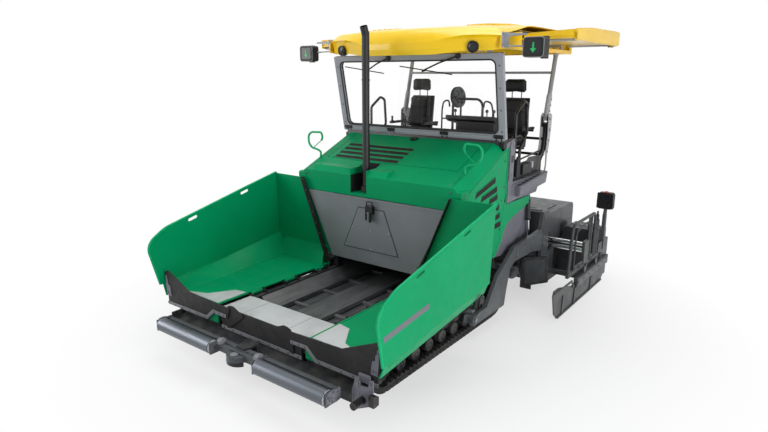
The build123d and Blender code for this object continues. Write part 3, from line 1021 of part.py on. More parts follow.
with BuildPart() as extension:
    block((640, FRAME_X), (EXT_FRONT, EXT_REAR), (0, 30))
    block((640, FRAME_X), (EXT_FRONT, EXT_REAR), (30, 600))
    # end frame: lower bar, upright behind the rods and top plate
    block((FRAME_X, FRAME_X + 38), (Y_DECK_END - 500, EXT_REAR), (420, 480))
    block((FRAME_X, FRAME_X + 38), (Y_SCREED - 160, Y_SCREED + 30), (420, 790))
    block((FRAME_X, FRAME_X + 38), (EXT_FRONT, EXT_REAR), (30, 620))
    for rod_z in ROD_Z:
        round_x((490, FRAME_X + 1), ROD_Y, rod_z, ROD_R)
    # guard hoop and console post
    hoop_x = FRAME_X + 21
    pipe(((hoop_x, Y_DECK_END - 470, 470), (hoop_x, Y_DECK_END - 390, 1135), (hoop_x, Y_SCREED + 283, 1139),
          (hoop_x, Y_SCREED + 283, 470)), 22, 110)
    pipe(((hoop_x, Y_SCREED + 760, 600), (hoop_x, Y_SCREED + 730, 900), (hoop_x, Y_SCREED + 750, 1120)),
         26, 60)
    block((hoop_x - 80, hoop_x + 80), (Y_SCREED + 690, Y_SCREED + 830), (1110, 1350))
write_pair("screed_extension", extension.part)

with BuildPart() as gate:
    side_plate(GATE_INNER, GATE_INNER + 14,
               ((Y_DECK_END - 900, 4), (Y_SCREED + 668, 4), (Y_SCREED + 830, 120), (Y_SCREED + 830, 300),
                (Y_DECK_END - 400, 300), (Y_DECK_END - 900, 420), (Y_DECK_END - 1060, 420),
                (Y_DECK_END - 1090, 366), (Y_DECK_END - 1010, 90)))
    block((GATE_INNER - 8, GATE_INNER + 30), (Y_DECK_END - 900, Y_SCREED + 668), (0, 22))
    block((GATE_INNER + 1, GATE_INNER + 48), (Y_DECK_END - 300, Y_SCREED + 839), (250, 380))
    for guide_y in (Y_SCREED - 60, Y_SCREED + 600):
        block((FRAME_X + 38 + SEAT, GATE_INNER + 6), (guide_y - 30, guide_y + 30), (60, 450))
write_pair("end_gate", gate.part)

# ------------------------------------------------------------ augers and their carrier
AUGER_OUT = 1230
with BuildPart() as auger:
    round_x((58 + SEAT, AUGER_OUT + 4 - SEAT), AUGER_Y, AUGER_Z, 45)
    for number in range(8):
        disc_x = 150 + number * 138
        with Locations(Location((disc_x, AUGER_Y, AUGER_Z), (0, 90, 0))):
            Cylinder(AUGER_R, 14, rotation=(0, 20, 0))
write_pair("auger", auger.part)

with BuildPart() as bearer:
    carrier_z = AUGER_Z + AUGER_R + AUGER_TOP_GAP
    block((-AUGER_OUT - 14, AUGER_OUT + 14), (AUGER_Y - 70, AUGER_Y + 70), (carrier_z, carrier_z + 80))
    block((-58, 58), (AUGER_Y - 90, AUGER_Y + 90), (AUGER_Z - 100, carrier_z + 1))
    for side in (-1, 1):
        x_limits = sorted((side * (AUGER_OUT + 4), side * (AUGER_OUT + 14)))
        block(x_limits, (AUGER_Y - 60, AUGER_Y + 60), (AUGER_Z - 80, carrier_z + 1))
        x_limits = sorted((side * (BEAM_INNER + 2), side * (FRAME_HALF - 2)))
        block(x_limits, (BEAM_REAR + SEAT, AUGER_Y - 69), (carrier_z + 10, carrier_z + 70))
        # guard panels in front of the augers, reaching past the tracks
        panel_x = sorted((side * 1105, side * (ARM_INNER - GAP)))
        block(panel_x, (BEAM_REAR - 10, BEAM_REAR + 6), (80, carrier_z + 70))
        x_limits = sorted((side * 1110, side * 1240))
        block(x_limits, (BEAM_REAR + 5, AUGER_Y - 60), (carrier_z + 20, carrier_z + 60))
bearer.part.label = "auger_bearer"
export_step(bearer.part, "parts/auger_bearer.step")

# ------------------------------------------------------------ lift cylinders of the screed
lift_base = Vector(LIFT_X, *LIFT_FOOT)
lift_eye = Vector(LIFT_X, *LIFT_EYE)
lift_axis = (lift_eye - lift_base).normalized()
with BuildPart() as lift_barrel:
    round_x((LIFT_X - 18, LIFT_X + 18), *LIFT_FOOT, 30)
    with BuildSketch(Plane(origin=lift_base + lift_axis * 18, z_dir=lift_axis)) as tube:
        Circle(32)
    extrude(amount=300)
    with BuildSketch(Plane(origin=lift_base + lift_axis * 46, z_dir=lift_axis)) as bore:
        Circle(18 + PIN_FIT)
    extrude(amount=300, mode=Mode.SUBTRACT)
    round_x((LIFT_X - 33, LIFT_X + 33), *LIFT_FOOT, 14 + PIN_FIT, mode=Mode.SUBTRACT)
write_pair("lift_barrel", lift_barrel.part)
with BuildPart() as lift_rod:
    with BuildSketch(Plane(origin=lift_base + lift_axis * 260, z_dir=lift_axis)) as rod:
        Circle(18)
    extrude(amount=(lift_eye - lift_base).length - 260 - 20)
    round_x((LIFT_X - 16, LIFT_X + 16), *LIFT_EYE, 30)
write_pair("lift_rod", lift_rod.part)
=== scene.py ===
"""Looks of the tracked asphalt paver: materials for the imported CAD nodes, the small
pieces that the CAD leaves out, the studio and the camera.

Lengths of the pieces are millimetres in the CAD frame: +X is the machine's left,
-Y its front, +Z up. Shaders, lamps and the camera use metres.
"""
import math

import bmesh
import bpy
from mathutils import Matrix, Vector


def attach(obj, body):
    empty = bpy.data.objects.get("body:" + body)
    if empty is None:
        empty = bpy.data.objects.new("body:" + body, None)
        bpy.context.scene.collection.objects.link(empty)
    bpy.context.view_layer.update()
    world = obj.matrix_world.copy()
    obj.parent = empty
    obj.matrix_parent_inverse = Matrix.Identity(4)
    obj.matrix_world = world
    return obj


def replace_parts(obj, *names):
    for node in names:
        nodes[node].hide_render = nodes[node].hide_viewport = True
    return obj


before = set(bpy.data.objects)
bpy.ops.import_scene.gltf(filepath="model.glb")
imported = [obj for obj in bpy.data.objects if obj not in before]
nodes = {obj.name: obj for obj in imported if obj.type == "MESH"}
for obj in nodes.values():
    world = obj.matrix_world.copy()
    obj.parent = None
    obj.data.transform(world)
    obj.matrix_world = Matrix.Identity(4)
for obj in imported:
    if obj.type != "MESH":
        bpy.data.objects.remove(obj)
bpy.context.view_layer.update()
MM = 0.001
SIDES = (("left", 1), ("right", -1))
OUT, FRONT, BACK, UP = (1, 0, 0), (0, -1, 0), (0, 1, 0), (0, 0, 1)


# ---- colours and materials
def linear(code, gain=1.0):
    """Linear colour of a hexadecimal sRGB code, times gain."""
    out = []
    for i in (0, 2, 4):
        c = int(code[i:i + 2], 16) / 255
        c = c / 12.92 if c <= 0.04045 else ((c + 0.055) / 1.055) ** 2.4
        out.append(min(1.0, c * gain))
    return (*out, 1.0)


def put(tree, socket, value):
    """Link an output to a socket, or set the socket's constant."""
    if isinstance(value, bpy.types.NodeSocket):
        tree.links.new(value, socket)
    else:
        socket.default_value = value


def add_node(tree, kind, inputs=(), **settings):
    """New node from its settings and (input, value or output) pairs."""
    node = tree.nodes.new(kind)
    for key, value in settings.items():
        setattr(node, key, value)
    for key, value in inputs:
        put(tree, node.inputs[key], value)
    return node


class Shader:
    """A node material with one Principled shader and a few helpers."""

    def __init__(self, name):
        self.mat = bpy.data.materials.new(name)
        self.mat.use_nodes = True
        self.tree = self.mat.node_tree
        self.bsdf = self.tree.nodes["Principled BSDF"]
        self.coord = self.add("ShaderNodeTexCoord").outputs["Object"]

    def add(self, kind, inputs=(), **settings):
        return add_node(self.tree, kind, inputs, **settings)

    def set(self, **values):
        """Set or link inputs of the Principled shader."""
        for key, value in values.items():
            put(self.tree, self.bsdf.inputs[key.replace("_", " ")], value)

    def noise(self, scale, detail, stretch=(1, 1, 1)):
        mapping = self.add("ShaderNodeMapping", (("Scale", stretch), ("Vector", self.coord)))
        return self.add("ShaderNodeTexNoise", (
            ("Scale", scale), ("Detail", detail), ("Roughness", 0.55),
            ("Vector", mapping.outputs["Vector"]))).outputs["Fac"]

    def ramp(self, value, low, high, start=0.0, end=1.0):
        return self.add("ShaderNodeMapRange", (
            ("From Min", low), ("From Max", high), ("To Min", start), ("To Max", end),
            ("Value", value)), clamp=True).outputs["Result"]

    def mix(self, factor, a, b):
        """Colour a where factor is 0 and b where it is 1."""
        node = self.add("ShaderNodeMix", [("Factor", factor)], data_type="RGBA")
        colours = {s.name: s for s in node.inputs if s.type == "RGBA"}
        put(self.tree, colours["A"], a)
        put(self.tree, colours["B"], b)
        return next(s for s in node.outputs if s.type == "RGBA")

    def drift(self, scale, detail, low, high, a, b):
        """Colour that wanders between the codes or colours a and b in patches."""
        a, b = (linear(c) if isinstance(c, str) else c for c in (a, b))
        return self.mix(self.ramp(self.noise(scale, detail), low, high), a, b)

    def math(self, op, a, b):
        return self.add("ShaderNodeMath", ((0, a), (1, b)), operation=op).outputs["Value"]

    def height(self):
        return self.add("ShaderNodeSeparateXYZ", [("Vector", self.coord)]).outputs["Z"]

    def soft_normal(self, radius):
        return self.add("ShaderNodeBevel", [("Radius", radius)], samples=4).outputs["Normal"]

    def rounded(self, radius, bump, strength, distance):
        """Softened edges with a fine bump on top."""
        inputs = (("Normal", self.soft_normal(radius)), ("Strength", strength),
                  ("Distance", distance), ("Height", bump))
        self.set(Normal=self.add("ShaderNodeBump", inputs).outputs["Normal"])

    def edge_mask(self, radius):
        """1 on sharp edges, 0 on flat stretches."""
        soft = self.soft_normal(radius)
        geometry = self.add("ShaderNodeNewGeometry")
        dot = self.add("ShaderNodeVectorMath", ((0, soft), (1, geometry.outputs["Normal"])),
                       operation="DOT_PRODUCT")
        return self.ramp(dot.outputs["Value"], 0.97, 0.80)


def paint(name, code, rough, coat, vary, dust, wear="c9ccc8", worn=0.35, gloss=0.22):
    """Machine paint: slow colour drift, fine orange peel, rubbed edges and dust low down."""
    s = Shader(name)
    colour = s.drift(1.7, 3, 0.35, 0.65, linear(code, 1 - vary), linear(code, 1 + vary))
    low = s.ramp(s.height(), 1.1, 0.1)
    film = s.math("MULTIPLY", low, s.ramp(s.noise(6.0, 6), 0.42, 0.75, 0.0, dust))
    colour = s.mix(film, colour, linear("8d8a82"))
    chips = s.math("MULTIPLY", s.edge_mask(0.003),
                   s.ramp(s.noise(38.0, 5), 0.52, 0.66, 0.0, worn))
    s.set(Base_Color=s.mix(chips, colour, linear(wear)),
          Roughness=s.ramp(s.noise(9.0, 5), 0.3, 0.75, rough - 0.06, rough + 0.14),
          Coat_Weight=coat, Coat_Roughness=0.15, Specular_IOR_Level=gloss)
    s.rounded(0.004, s.noise(90.0, 2), 0.03, 0.0004)
    return s.mat


def metal(name, code, rough, scale, grime, metallic=1.0, stretch=(1, 1, 1), patch="2b2926",
          bump=0.15):
    """Bare or plated metal with brushed grain and grime in patches."""
    s = Shader(name)
    grain = s.noise(scale, 6, stretch)
    dirt = s.ramp(s.noise(3.5, 6), 0.45, 0.8, 0.0, grime)
    s.set(Base_Color=s.mix(dirt, linear(code), linear(patch)),
          Roughness=s.ramp(grain, 0.2, 0.8, rough - 0.08, rough + 0.18), Metallic=metallic)
    s.rounded(0.003, grain, bump, 0.0006)
    return s.mat


def rubber(name, code, rough=0.62, pore=300.0, bump=0.3, dust=0.3):
    """Black rubber or moulded plastic with a fine pore and greyish dust."""
    s = Shader(name)
    film = s.ramp(s.noise(4.5, 6), 0.45, 0.8, 0.0, dust)
    s.set(Base_Color=s.mix(film, linear(code), linear("4a4844")),
          Roughness=s.ramp(s.noise(14.0, 5), 0.3, 0.7, rough - 0.1, rough + 0.1),
          Specular_IOR_Level=0.35)
    s.rounded(0.003, s.noise(pore, 3), bump, 0.0007)
    return s.mat


def leather(name, code):
    """Seat cover: fine cell grain with soft sheen."""
    s = Shader(name)
    cells = s.add("ShaderNodeTexVoronoi", (("Scale", 330.0), ("Vector", s.coord)),
                  feature="DISTANCE_TO_EDGE")
    s.set(Base_Color=s.drift(11.0, 5, 0.35, 0.7, code, "121214"),
          Roughness=s.ramp(s.noise(30.0, 4), 0.3, 0.7, 0.42, 0.6),
          Sheen_Weight=0.06, Specular_IOR_Level=0.25)
    s.rounded(0.002, s.ramp(cells.outputs["Distance"], 0.0, 0.1), 0.35, 0.0008)
    return s.mat


def glass(name):
    """Clear safety glass that barely tints what is behind it."""
    s = Shader(name)
    s.set(Base_Color=(0.97, 0.98, 0.98, 1.0), IOR=1.12, Transmission_Weight=1.0, Alpha=0.02,
          Roughness=s.ramp(s.noise(5.0, 6), 0.4, 0.8, 0.0, 0.03))
    return s.mat


def glow(name, code, strength):
    """Glowing face with a little unevenness: a lit lamp face, and on the orange buttons a painted
    glow.
    """
    s = Shader(name)
    colour = s.drift(60.0, 3, 0.3, 0.7, code, linear(code, 0.8))
    s.set(Base_Color=colour, Emission_Color=colour, Emission_Strength=strength, Roughness=0.4)
    return s.mat


def conveyor_steel(name):
    """Conveyor bed: dark scraped floor, greyer raised divider and side covers."""
    s = Shader(name)
    raised = s.ramp(s.height(), 0.424, 0.432)
    scrape = s.noise(26.0, 7, (1.0, 0.06, 1.0))
    floor, cover = (s.mix(s.ramp(scrape, 0.35, 0.7), linear(a), linear(b))
                    for a, b in (("4a4a4c", "68686b"), ("5f5f61", "747476")))
    colour = s.mix(raised, floor, cover)
    stain = s.ramp(s.noise(5.0, 6), 0.5, 0.8, 0.0, 0.5)
    s.set(Base_Color=s.mix(stain, colour, linear("2c2a28")),
          Roughness=s.ramp(scrape, 0.2, 0.8, 0.32, 0.55), Metallic=0.45)
    s.rounded(0.004, scrape, 0.2, 0.001)
    return s.mat


# colour, roughness, coat, drift of the colour and dust; then rubbed edges and gloss
GREEN = paint("green_paint", "00965f", 0.36, 0.03, 0.05, 0.08, "2fae78", 0.2, gloss=0.08)
# lighter copy of the green paint: painted highlight on lit rims, louvre lips, door ribs and the
# grab handle
GREEN_PAINTED_HIGHLIGHT = paint("green_edge", "08a66c", 0.34, 0.06, 0.05, 0.05, "4fc090", gloss=0.12)
BAR_GREY = paint("bar_grey", "4c4f53", 0.42, 0.1, 0.08, 0.2)
YELLOW = paint("yellow_paint", "f4c712", 0.34, 0.4, 0.05, 0.0, "f8e39a", 0.2)
WALL = paint("wall_grey", "828488", 0.42, 0.1, 0.08, 0.2)
LILAC = paint("light_grey", "6c6c75", 0.38, 0.2, 0.05, 0.15)
DARK = paint("dark_grey", "36393c", 0.42, 0.15, 0.1, 0.3, "8b8d8f")
DARKER = paint("black_grey", "232427", 0.45, 0.1, 0.15, 0.35, "6d6e70")
ARM_GREY = paint("arm_grey", "505356", 0.4, 0.1, 0.06, 0.2)
FRAME_GREY = paint("cab_grey", "94959c", 0.36, 0.25, 0.06, 0.1)
BLACK = paint("black_paint", "141416", 0.38, 0.25, 0.15, 0.1, "55565a")
SILVER = paint("silver_paint", "a7a9ae", 0.34, 0.2, 0.05, 0.1, "d8dadd")
# colour, roughness, scale of the grain and grime
ROLLER = metal("roller_steel", "646970", 0.34, 90.0, 0.3, 0.85, (0.05, 1, 1), "55575b")
SATIN = metal("sill_steel", "c8c9cb", 0.5, 70.0, 0.35, 0.6, (1, 0.08, 1), "86878a")
STEEL = metal("worn_steel", "77787a", 0.42, 80.0, 0.5, 0.7)
CHROME = metal("chrome_rod", "d5d7da", 0.12, 120.0, 0.1, stretch=(0.05, 1, 1), bump=0.03)
BOLT = metal("bolt_steel", "6f7175", 0.4, 150.0, 0.4, 0.7)
IRON = metal("cast_iron", "2c2c2d", 0.6, 120.0, 0.5, 0.3, bump=0.4)
EXHAUST = metal("exhaust_black", "1c1c1f", 0.42, 50.0, 0.4, 0.25, patch="3a3430")
RUBBER = rubber("black_rubber", "19191a")
TRACK = rubber("track_rubber", "1b1b1c", rough=0.7, pore=90.0, bump=0.6, dust=0.7)
PLASTIC = rubber("black_plastic", "101011", rough=0.5, pore=500.0, dust=0.1)
SEATCOVER = leather("seat_leather", "060607")
GLASS = glass("clear_glass")
# black mesh, also used for dark sheets of painted shade in the louvre slots
MESH = rubber("vent_mesh", "0b0b0c", rough=0.7, pore=150.0, bump=0.8, dust=0.1)
GREEN_LAMP = glow("signal_green", "18a05a", 0.35)
# orange buttons: painted glow, as they are no lamps
ORANGE_PAINTED_GLOW = glow("orange_button", "e8501a", 0.15)
LENS = rubber("lamp_lens", "1f2124", rough=0.18, pore=40.0, bump=0.1, dust=0.0)
CONVEYOR = conveyor_steel("conveyor_steel")

# finish of every CAD node; a name that ends in _ stands for its left and right node
FINISHES = {
    GREEN: "body_shell hood_lid side_door_ hopper_wing_",
    WALL: "hopper_wall apron_strip tow_points",
    LILAC: "side_steps rear_tank",
    DARK: "auger_bearer screed_extension_ end_gate_ lift_barrel_",
    DARKER: "main_frame front_beam platform_deck screed_body running_gear wing_barrel_",
    ARM_GREY: "screed_hood tow_arms",
    FRAME_GREY: "windshield_frame rear_posts",
    YELLOW: "roof awning_",
    STEEL: "conveyor_flights auger_",
    RUBBER: "front_apron wing_apron_",
    PLASTIC: "console signal_boxes seat_",
    EXHAUST: "exhaust_stack", BLACK: "guard_rails", BAR_GREY: "push_bar", IRON: "engine_block",
    CONVEYOR: "conveyor_bed", SATIN: "hopper_sill", GLASS: "windshield_glass",
    ROLLER: "push_roller_", CHROME: "lift_rod_ wing_rod_", TRACK: "track_",
    SEATCOVER: "seat_cushions_",
}
finish_of = {}
for finish, names in FINISHES.items():
    for name in names.split():
        for side, _ in SIDES:
            finish_of[name + side if name.endswith("_") else name] = finish
for name, obj in nodes.items():
    obj.data.materials.clear()
    obj.data.materials.append(finish_of[name])

# slot of the pieces whose first material is this one
SLOTS = {
    GREEN: "green_paint", GREEN_PAINTED_HIGHLIGHT: "green_paint", YELLOW: "yellow_paint", WALL: "grey_paint",
    LILAC: "light_grey_paint", BAR_GREY: "light_grey_paint", SILVER: "light_grey_paint",
    ARM_GREY: "dark_grey_paint", DARK: "dark_grey_paint", DARKER: "dark_grey_paint",
    BLACK: "black_paint", EXHAUST: "black_paint", PLASTIC: "black_plastic", MESH: "black_plastic",
    RUBBER: "black_rubber", CHROME: "chrome_rod", BOLT: "worn_steel", IRON: "worn_steel",
    SATIN: "worn_steel", STEEL: "worn_steel",
}


# ---- mesh building
def spread(axis, d, pairs):
    """Points at d along axis from pairs of the two other coordinates."""
    return [{"x": (d, p, q), "y": (p, d, q), "z": (p, q, d)}[axis] for p, q in pairs]


def circle(n):
    """(cos, sin) of n even steps round a circle."""
    return [(math.cos(math.tau * k / n), math.sin(math.tau * k / n)) for k in range(n)]


def unit(degrees):
    """(cos, sin) of an angle in degrees."""
    return math.cos(math.radians(degrees)), math.sin(math.radians(degrees))


def rounded(cx, cz, half_x, half_z, corner, step=18):
    """Rounded rectangle about (cx, cz), its corners in steps of so many degrees."""
    out = []
    for sx, sz, start in ((1, 1, 0), (-1, 1, 90), (-1, -1, 180), (1, -1, 270)):
        for c, s in map(unit, range(start, start + 91, step)):
            out.append((cx + sx * (half_x - corner) + corner * c,
                        cz + sz * (half_z - corner) + corner * s))
    return out


def tip(angle):
    """Turn about the machine's cross axis."""
    return Matrix.Rotation(angle, 3, "X")


def add_object(name, data):
    obj = bpy.data.objects.new(name, data)
    bpy.context.scene.collection.objects.link(obj)
    return obj


BEVEL_FROM = math.radians(50)  # angle from which an edge is bevelled


class Piece:
    """Gathers closed shapes, in millimetres, into one mesh object."""

    def __init__(self, name, body, *mats, slot=None, bevel=1.5, flip=False):
        self.name, self.body, self.mats = name, body, mats
        self.slot = slot or SLOTS[mats[0]]
        self.bevel, self.flip = bevel, flip
        self.bm = bmesh.new()
        self.use = 0
        self.obj = None

    def of(self, mat):
        """Choose the material of the shapes that follow."""
        self.use = self.mats.index(mat)
        return self

    def _mark(self, verts):
        for f in {f for v in verts for f in v.link_faces}:
            f.material_index = self.use
        return self

    def skin(self, rings, closed=False):
        """Faces between rings of points; both ends get a cap unless the last ring joins
        the first."""
        rings = [[self.bm.verts.new(co) for co in ring] for ring in rings]
        first, last = rings[0], rings[-1]
        pairs = list(zip(rings, rings[1:]))
        if closed:
            near = min(range(len(first)), key=lambda k: (last[0].co - first[k].co).length)
            pairs.append((last, first[near:] + first[:near]))
        else:
            for cap in (first[::-1], last):
                self.bm.faces.new(cap).material_index = self.use
        for a, b in pairs:
            for i in range(len(a)):
                j = (i + 1) % len(a)
                self.bm.faces.new((a[i], a[j], b[j], b[i])).material_index = self.use
        return self

    def box(self, x, y, z, turn=None):
        """Box between pairs of limits; turn is an optional rotation about its centre."""
        mid = Vector([(a + b) / 2 for a, b in (x, y, z)])
        m = Matrix.Translation(mid) @ (turn.to_4x4() if turn else Matrix.Identity(4))
        m = m @ Matrix.Diagonal((*(abs(b - a) for a, b in (x, y, z)), 1))
        return self._mark(bmesh.ops.create_cube(self.bm, size=1, matrix=m)["verts"])

    def prism(self, axis, a, b, points):
        """Closed outline in the two other directions, run from a to b along axis."""
        return self.skin([spread(axis, d, points) for d in (a, b)])

    def rod(self, p, q, r, n=20, r2=None):
        """Round bar or cone from p to q."""
        p, q = Vector(p), Vector(q)
        d = q - p
        m = Matrix.Translation((p + q) / 2) @ d.to_track_quat("Z", "Y").to_matrix().to_4x4()
        return self._mark(bmesh.ops.create_cone(
            self.bm, cap_ends=True, segments=n, radius1=r, radius2=r if r2 is None else r2,
            depth=d.length, matrix=m)["verts"])

    def lathe(self, centre, axis, profile, n=32):
        """Turned shape: profile is (distance along axis, radius) pairs, closed by caps."""
        turn = Vector(axis).to_track_quat("Z", "Y").to_matrix()
        return self.skin([[Vector(centre) + turn @ Vector((r * c, r * s, along))
                           for c, s in circle(n)] for along, r in profile])

    def tube(self, points, r, n=12, bend=40, closed=False):
        """Bent tube through points, its corners rounded by bend."""
        pts = [Vector(p) for p in points]
        path = []
        for i, p in enumerate(pts):
            if not closed and i in (0, len(pts) - 1):
                path.append(p)
                continue
            a, b = pts[i - 1], pts[(i + 1) % len(pts)]
            cut = min(bend, (a - p).length * 0.45, (b - p).length * 0.45)
            p0, p1 = p + (a - p).normalized() * cut, p + (b - p).normalized() * cut
            for t in (0, 0.2, 0.4, 0.6, 0.8, 1):
                path.append(p0 * (1 - t) ** 2 + p * 2 * t * (1 - t) + p1 * t ** 2)
        count = len(path)
        rings = []
        up = None
        for i, p in enumerate(path):
            before = path[i - 1] if i or closed else p
            after = path[(i + 1) % count] if i < count - 1 or closed else p
            d = (after - before).normalized()
            if up is None:
                up = d.orthogonal().normalized()
            up = (up - d * up.dot(d)).normalized()
            side = d.cross(up)
            rings.append([p + (up * c + side * s) * r for c, s in circle(n)])
        return self.skin(rings, closed)

    def bolts(self, places, axis, r=13, high=9):
        """Hexagon heads with a washer at each place, standing along axis."""
        d = Vector(axis).normalized()
        for p in places:
            p = Vector(p)
            self.rod(p, p + d * 3, r * 1.35, 16).rod(p + d * 2.5, p + d * high, r, 6)
        return self

    def done(self, sharp=35):
        """Make the object once; a flip mirrors it to the machine's other side."""
        if self.obj:
            return self.obj
        if self.flip:
            bmesh.ops.scale(self.bm, vec=(-1, 1, 1), verts=self.bm.verts)
        bmesh.ops.recalc_face_normals(self.bm, faces=self.bm.faces)
        if self.bevel:
            edges = [e for e in self.bm.edges if len(e.link_faces) == 2
                     and e.calc_face_angle(0) > BEVEL_FROM]
            bmesh.ops.bevel(self.bm, geom=edges, offset=self.bevel, segments=2,
                            affect="EDGES", clamp_overlap=True)
        bmesh.ops.scale(self.bm, vec=(MM, MM, MM), verts=self.bm.verts)
        mesh = bpy.data.meshes.new(self.name)
        self.bm.to_mesh(mesh)
        self.bm.free()
        for polygon in mesh.polygons:
            polygon.use_smooth = True
        mesh.set_sharp_from_angle(angle=math.radians(sharp))
        obj = self.obj = add_object(self.name, mesh)
        for m in self.mats:
            mesh.materials.append(m)
        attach(obj, self.body)
        return obj


def both(name, body, *mats, **options):
    """The same piece for the left and the right side, made when the loop's body ends;
    body may hold {side}."""
    for side, sign in SIDES:
        p = Piece(f"{name}_{side}", body.format(side=side), *mats, flip=sign < 0, **options)
        yield p
        p.done()


# stations of the CAD model
Y_FRONT, Y_WING, Y_WALL, Y_SHIELD = -2960, -2730, -710, 280
BODY_HALF, DECK_Z = 1243, 1765
ROLLER_Y, ROLLER_Z = -2885, 381
AUGER_Y, AUGER_Z = 1568, 300
ARM_X, POST_X = 1325.4, 1190  # outer face of the tow arm, post's centre
EXT_X, GATE_X = 1833, 1878.3  # extension's frame, gate's outer face
HOOD_Y, HOOD_SLOPE = Y_WALL + 2, 425 / 974
HOOD_TURN = tip(math.atan(HOOD_SLOPE))


def hood_z(y):
    """Height of the hood's skin."""
    return 1850 + (y - HOOD_Y) * HOOD_SLOPE


# ---- running gear
# centres of the front idler and the drive sprocket, their heights and the track's bolts
IDLER_Y, DRIVE_Y = Y_WALL - 1280, Y_SHIELD + 58
IDLER_R, DRIVE_R = 262, 315
GROUND_RUN = DRIVE_Y - IDLER_Y
BOLT_ROWS = (925, 965, 1100, 1140)

for p in both("running_gear", "chassis", DARKER, BOLT, bevel=2):
    # front idler: rim, web and hub
    p.lathe((905, IDLER_Y, IDLER_R), OUT, ((35, 150), (35, 193.5), (215, 193.5), (215, 150),
        (150, 140), (150, 60), (225, 60), (232, 50), (20, 50), (20, 60), (100, 60), (100, 140)))
    # drive sprocket with teeth, hub and ring of bolts
    p.lathe((905, DRIVE_Y, DRIVE_R), OUT, ((35, 190), (35, 235), (215, 235), (215, 190),
        (160, 180), (160, 110), (262, 108), (268, 96), (0, 96), (0, 110), (90, 112), (90, 180)))
    for c, s in circle(22):
        y, z = DRIVE_Y + c * 236, DRIVE_R + s * 236
        p.rod((965, y, z), (1100, y, z), 10, 8)
    p.of(BOLT).bolts([(1172, DRIVE_Y + 82 * c, DRIVE_R + 82 * s) for c, s in circle(10)], OUT, 9)
    p.bolts([(1136, IDLER_Y + 40 * c, IDLER_R + 40 * s) for c, s in circle(6)], OUT, 7)
    p.of(DARKER)
    # lower rollers with flanges, track beam, axles and their bearers
    for k in range(7):
        y = IDLER_Y + 330 + k * (GROUND_RUN - 700) / 6
        p.lathe((900, y, 146.3), OUT, ((30, 70), (40, 78), (100, 78), (110, 62), (150, 62),
            (160, 78), (225, 78), (235, 70), (240, 30), (20, 30)), 24)
        p.rod((1122, y, 146.3), (1140, y, 146.3), 24)
    p.prism("x", 940, 1085, ((IDLER_Y + 215, 180), (DRIVE_Y - 250, 180), (DRIVE_Y - 210, 260),
        (DRIVE_Y - 240, 345), (IDLER_Y + 280, 318), (IDLER_Y + 190, 250)))
    p.prism("x", 1085, 1100, ((IDLER_Y + 250, 205), (DRIVE_Y - 300, 205), (DRIVE_Y - 300, 300),
        (IDLER_Y + 250, 290)))
    p.rod((880, IDLER_Y, IDLER_R), (1140, IDLER_Y, IDLER_R), 42)
    for y in (IDLER_Y + 430, DRIVE_Y - 650):
        p.box((650, 960), (y, y + 180), (166, 296))
    p.rod((650, DRIVE_Y, DRIVE_R), (1000, DRIVE_Y, DRIVE_R), 140)
    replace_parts(p.done(), "running_gear")

for p in both("track_chain", "chassis", BOLT, TRACK, IRON, bevel=0):
    # pads of the shoes along the ground run, links and pins on top of them
    for k in range(30):
        y = IDLER_Y + 40 + k * 77
        p.of(TRACK).box((1140, 1190), (y - 31, y + 31), (1.5, 40))
        p.box((1128, 1176), (y - 22, y + 22), (60, 84))
        p.of(IRON).rod((1150, y, 72), (1184, y, 72), 15, 12)
    p.of(BOLT)
    # bolts on the shoes, along the belt's upper run and round its front end
    for k in range(14):
        y = IDLER_Y + (k + 0.5) * GROUND_RUN / 15 + 78
        top = 2 * (IDLER_R + (DRIVE_R - IDLER_R) * (y - IDLER_Y) / GROUND_RUN)
        for x in BOLT_ROWS:
            p.rod((x, y, top - 2), (x, y, top + 5), 9, 6)
    for k in range(4):
        d = Vector((0, *unit(112 + k * 35)))
        for x in BOLT_ROWS:
            c = Vector((x, IDLER_Y, IDLER_R)) + d * IDLER_R
            p.rod(c - d * 2, c + d * 5, 9, 6)

# ---- front beam, push bar and rollers
p = Piece("beam_bracket", "chassis", LILAC, BLACK, BOLT, bevel=2)
# upright plate at the beam's end, its bracket, black tube stub and blocks
p.prism("y", -2706, -2694, ((1405, 256), (1579, 344), (1580, 578), (1540, 572), (1524, 500),
    (1440, 490), (1408, 539)))
p.prism("x", 1346, 1360, ((-2706, 225), (-2640, 225), (-2600, 300), (-2600, 512), (-2655, 525),
    (-2706, 420)))
p.prism("x", 1346, 1475, ((-2620, 470), (-2600, 470), (-2600, 545), (-2620, 530)))
p.box((1346, 1440), (-2600, -2540), (255, 300))
p.of(BLACK).lathe((1469, -2842, 367), BACK, ((0, 22), (0, 35), (136, 35), (136, 22), (30, 22)), 28)
p.box((1555, 1615), (-2740, -2694), (350, 453))
p.box((1440, 1500), (-2600, -2520), (235, 320))
p.of(BOLT).bolts([(1430, -2706, 300), (1550, -2706, 540), (1428, -2706, 500),
    (1550, -2706, 380)], FRONT, 10)
p.done()

p = Piece("push_head_trim", "push_bar", BLACK, BOLT, WALL, slot="black_rubber", bevel=2)
# rounded bumper under the tow head, collar round its pin hole and side lugs
rim = [(136 * c, Y_FRONT + 136 - 128 * s) for c, s in map(unit, range(25, 156, 10))]
rim += [(96 * c, Y_FRONT + 146 - 90 * s) for c, s in map(unit, range(155, 24, -10))]
p.prism("z", 306, 344, rim)
p.of(WALL).lathe((0, Y_FRONT + 70, 400), UP, ((0, 24), (0, 40), (6, 40), (9, 37), (9, 24)))
for s in (-1, 1):
    p.prism("x", s * 309, s * 250, ((-2866, 417), (-2800, 417), (-2780, 455), (-2830, 468),
        (-2856, 450)))
p.of(BOLT).bolts([(s * x, -2800, 417) for s in (-1, 1) for x in (150, 205)], UP, 12)
p.done()

